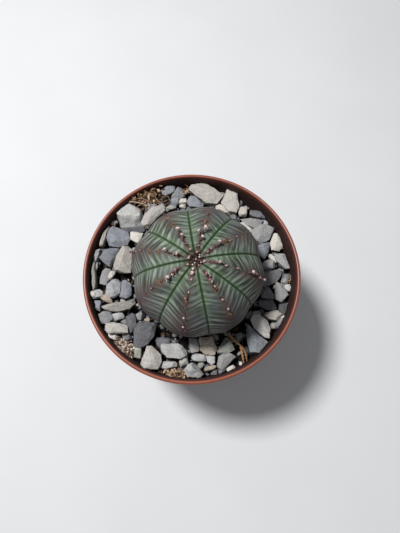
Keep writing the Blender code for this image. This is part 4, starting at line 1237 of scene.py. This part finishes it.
def make_grit_patch():
    chance = random.Random(45)
    bundle = Bundle()
    for _grain in range(420):
        azimuth = GRIT_AT[0] + chance.gauss(0, 3.6)
        distance = GRIT_AT[1] + chance.gauss(0, 1.25)
        half = chance.choice([0.22, 0.3, 0.38, 0.5]) * MM
        along, out = (azimuth - GRIT_AT[0]) / 7.5, (distance - GRIT_AT[1]) / 3.4
        mound = 2.9 * math.exp(-(along ** 2) - out ** 2)
        place = polar(azimuth, distance, mound + chance.uniform(-0.3, 0.4))
        add_crumb(bundle, chance, place, (half * 1.3, half, half * 0.9), 0.7, True)
    finish_piece(bundle.build("grit_grains", grit_finish(), 30), "grit", "grit_patch")


def make_dried_root():
    """A pale dry root that splits into two strands before the wall."""
    bundle = Bundle()
    for radius_mm, tone, flat, places in [
        (0.72, 0.3, 0.75, [(300.8, 27.6, 4.6), (301.6, 30.2, 5.1), (303, 32.6, 5.0), (303.7, 34.6, 4.7)]),
        (0.56, 0.6, 1.0, [(303.4, 34.0, 4.7), (301.8, 36.4, 4.4), (300.8, 38.2, 4.0), (299.8, 39.8, 3.6)]),
        (0.46, 0.45, 1.0, [(303.8, 34.2, 4.6), (303.8, 36.6, 4.3), (302.8, 38.4, 3.8), (302, 39.8, 3.2)]),
    ]:
        strand(bundle, [polar(*place) for place in places], radius_mm, tone, flat)
    root = dry_plant("dry_root", (96, 68, 46), (176, 132, 92), (206, 178, 148))
    finish_piece(bundle.build("dried_root_fork", root), "dry_root", "dried_root")


def make_crumbs():
    """Grains and flakes of soil caught among the stones."""
    chance = random.Random(61)
    bundle = Bundle()
    for _crumb in range(420):
        azimuth, distance = chance.uniform(0, 360), chance.uniform(23, 39.5)
        half = chance.choice([0.12, 0.18, 0.26, 0.36]) * MM
        place = polar(azimuth, distance, chance.uniform(0.0, 1.6))
        add_crumb(bundle, chance, place, (half * 1.6, half, half * 0.8), 0.6)
    # Painted shade: the crumbs are coloured near black, darker than soil is, so they don't lighten the
    # gaps between the stones
    finish = dry_plant("soil_crumbs", (26, 19, 15), (52, 39, 30), (92, 74, 56))
    finish_piece(bundle.build("soil_crumbs", finish), "potting_mix")


# Stage, light and camera


def make_stage():
    floor = Finish("studio_floor", 0.3)
    grain = floor.noise(0.02, 3.0)
    floor.colour = floor.mix(grain, (196, 197, 198), (204, 205, 206))
    half = 1.5
    corners = [(-half, -half, 0), (half, -half, 0), (half, half, 0), (-half, half, 0)]
    mesh = new_mesh("studio_floor", corners, [(0, 1, 2, 3)])
    new_object("studio_floor", mesh, floor.done(0.8 + grain * 0.1))


def add_light(name, place, size, power, colour):
    """A round lamp, aimed at the middle of the pot."""
    lamp = bpy.data.lights.new(name, "AREA")
    lamp.shape = "DISK"
    lamp.size = size
    lamp.energy = power
    lamp.color = colour
    carrier = linked(name, lamp)
    carrier.location = place
    aim = Vector((0, 0, 0.06)) - Vector(place)
    carrier.rotation_euler = aim.to_track_quat("-Z", "Y").to_euler()


def make_lights():
    add_light("key", (-0.27, 0.15, 0.68), 0.14, 6.9, (1.0, 1.0, 1.0))
    add_light("fill", (0.3, -0.5, 0.8), 0.9, 0.75, (0.98, 0.99, 1.0))
    world = bpy.data.worlds.new("studio")
    world.use_nodes = True
    sky = world.node_tree.nodes["Background"]
    sky.inputs["Color"].default_value = (0.9, 0.94, 1.0, 1)
    sky.inputs["Strength"].default_value = 0.23
    bpy.context.scene.world = world
    bpy.context.scene.view_settings.view_transform = "Standard"


def make_camera():
    lens = bpy.data.cameras.new("camera")
    lens.lens = 27.1
    lens.clip_start = 0.01
    eye = linked("camera", lens)
    eye.location = (0.5 * MM, -43.4 * MM, RIM_HEIGHT + 150.1 * MM)
    eye.rotation_euler = (math.radians(16.78), math.radians(-0.956), 0)
    bpy.context.scene.camera = eye


def main():
    make_camera()
    make_lights()
    make_stage()
    make_pot()
    make_soil()
    make_globe()
    make_flower_rows(flower_flesh("dry_flower"))
    make_crown_buds()
    finishes = {f"stone_{tone}": stone_finish(tone) for tone in TONES}
    make_large_stones(finishes)
    make_small_stones(finishes)
    make_straws(make_bark_litter())
    make_grit_patch()
    make_dried_root()
    make_crumbs()


main()
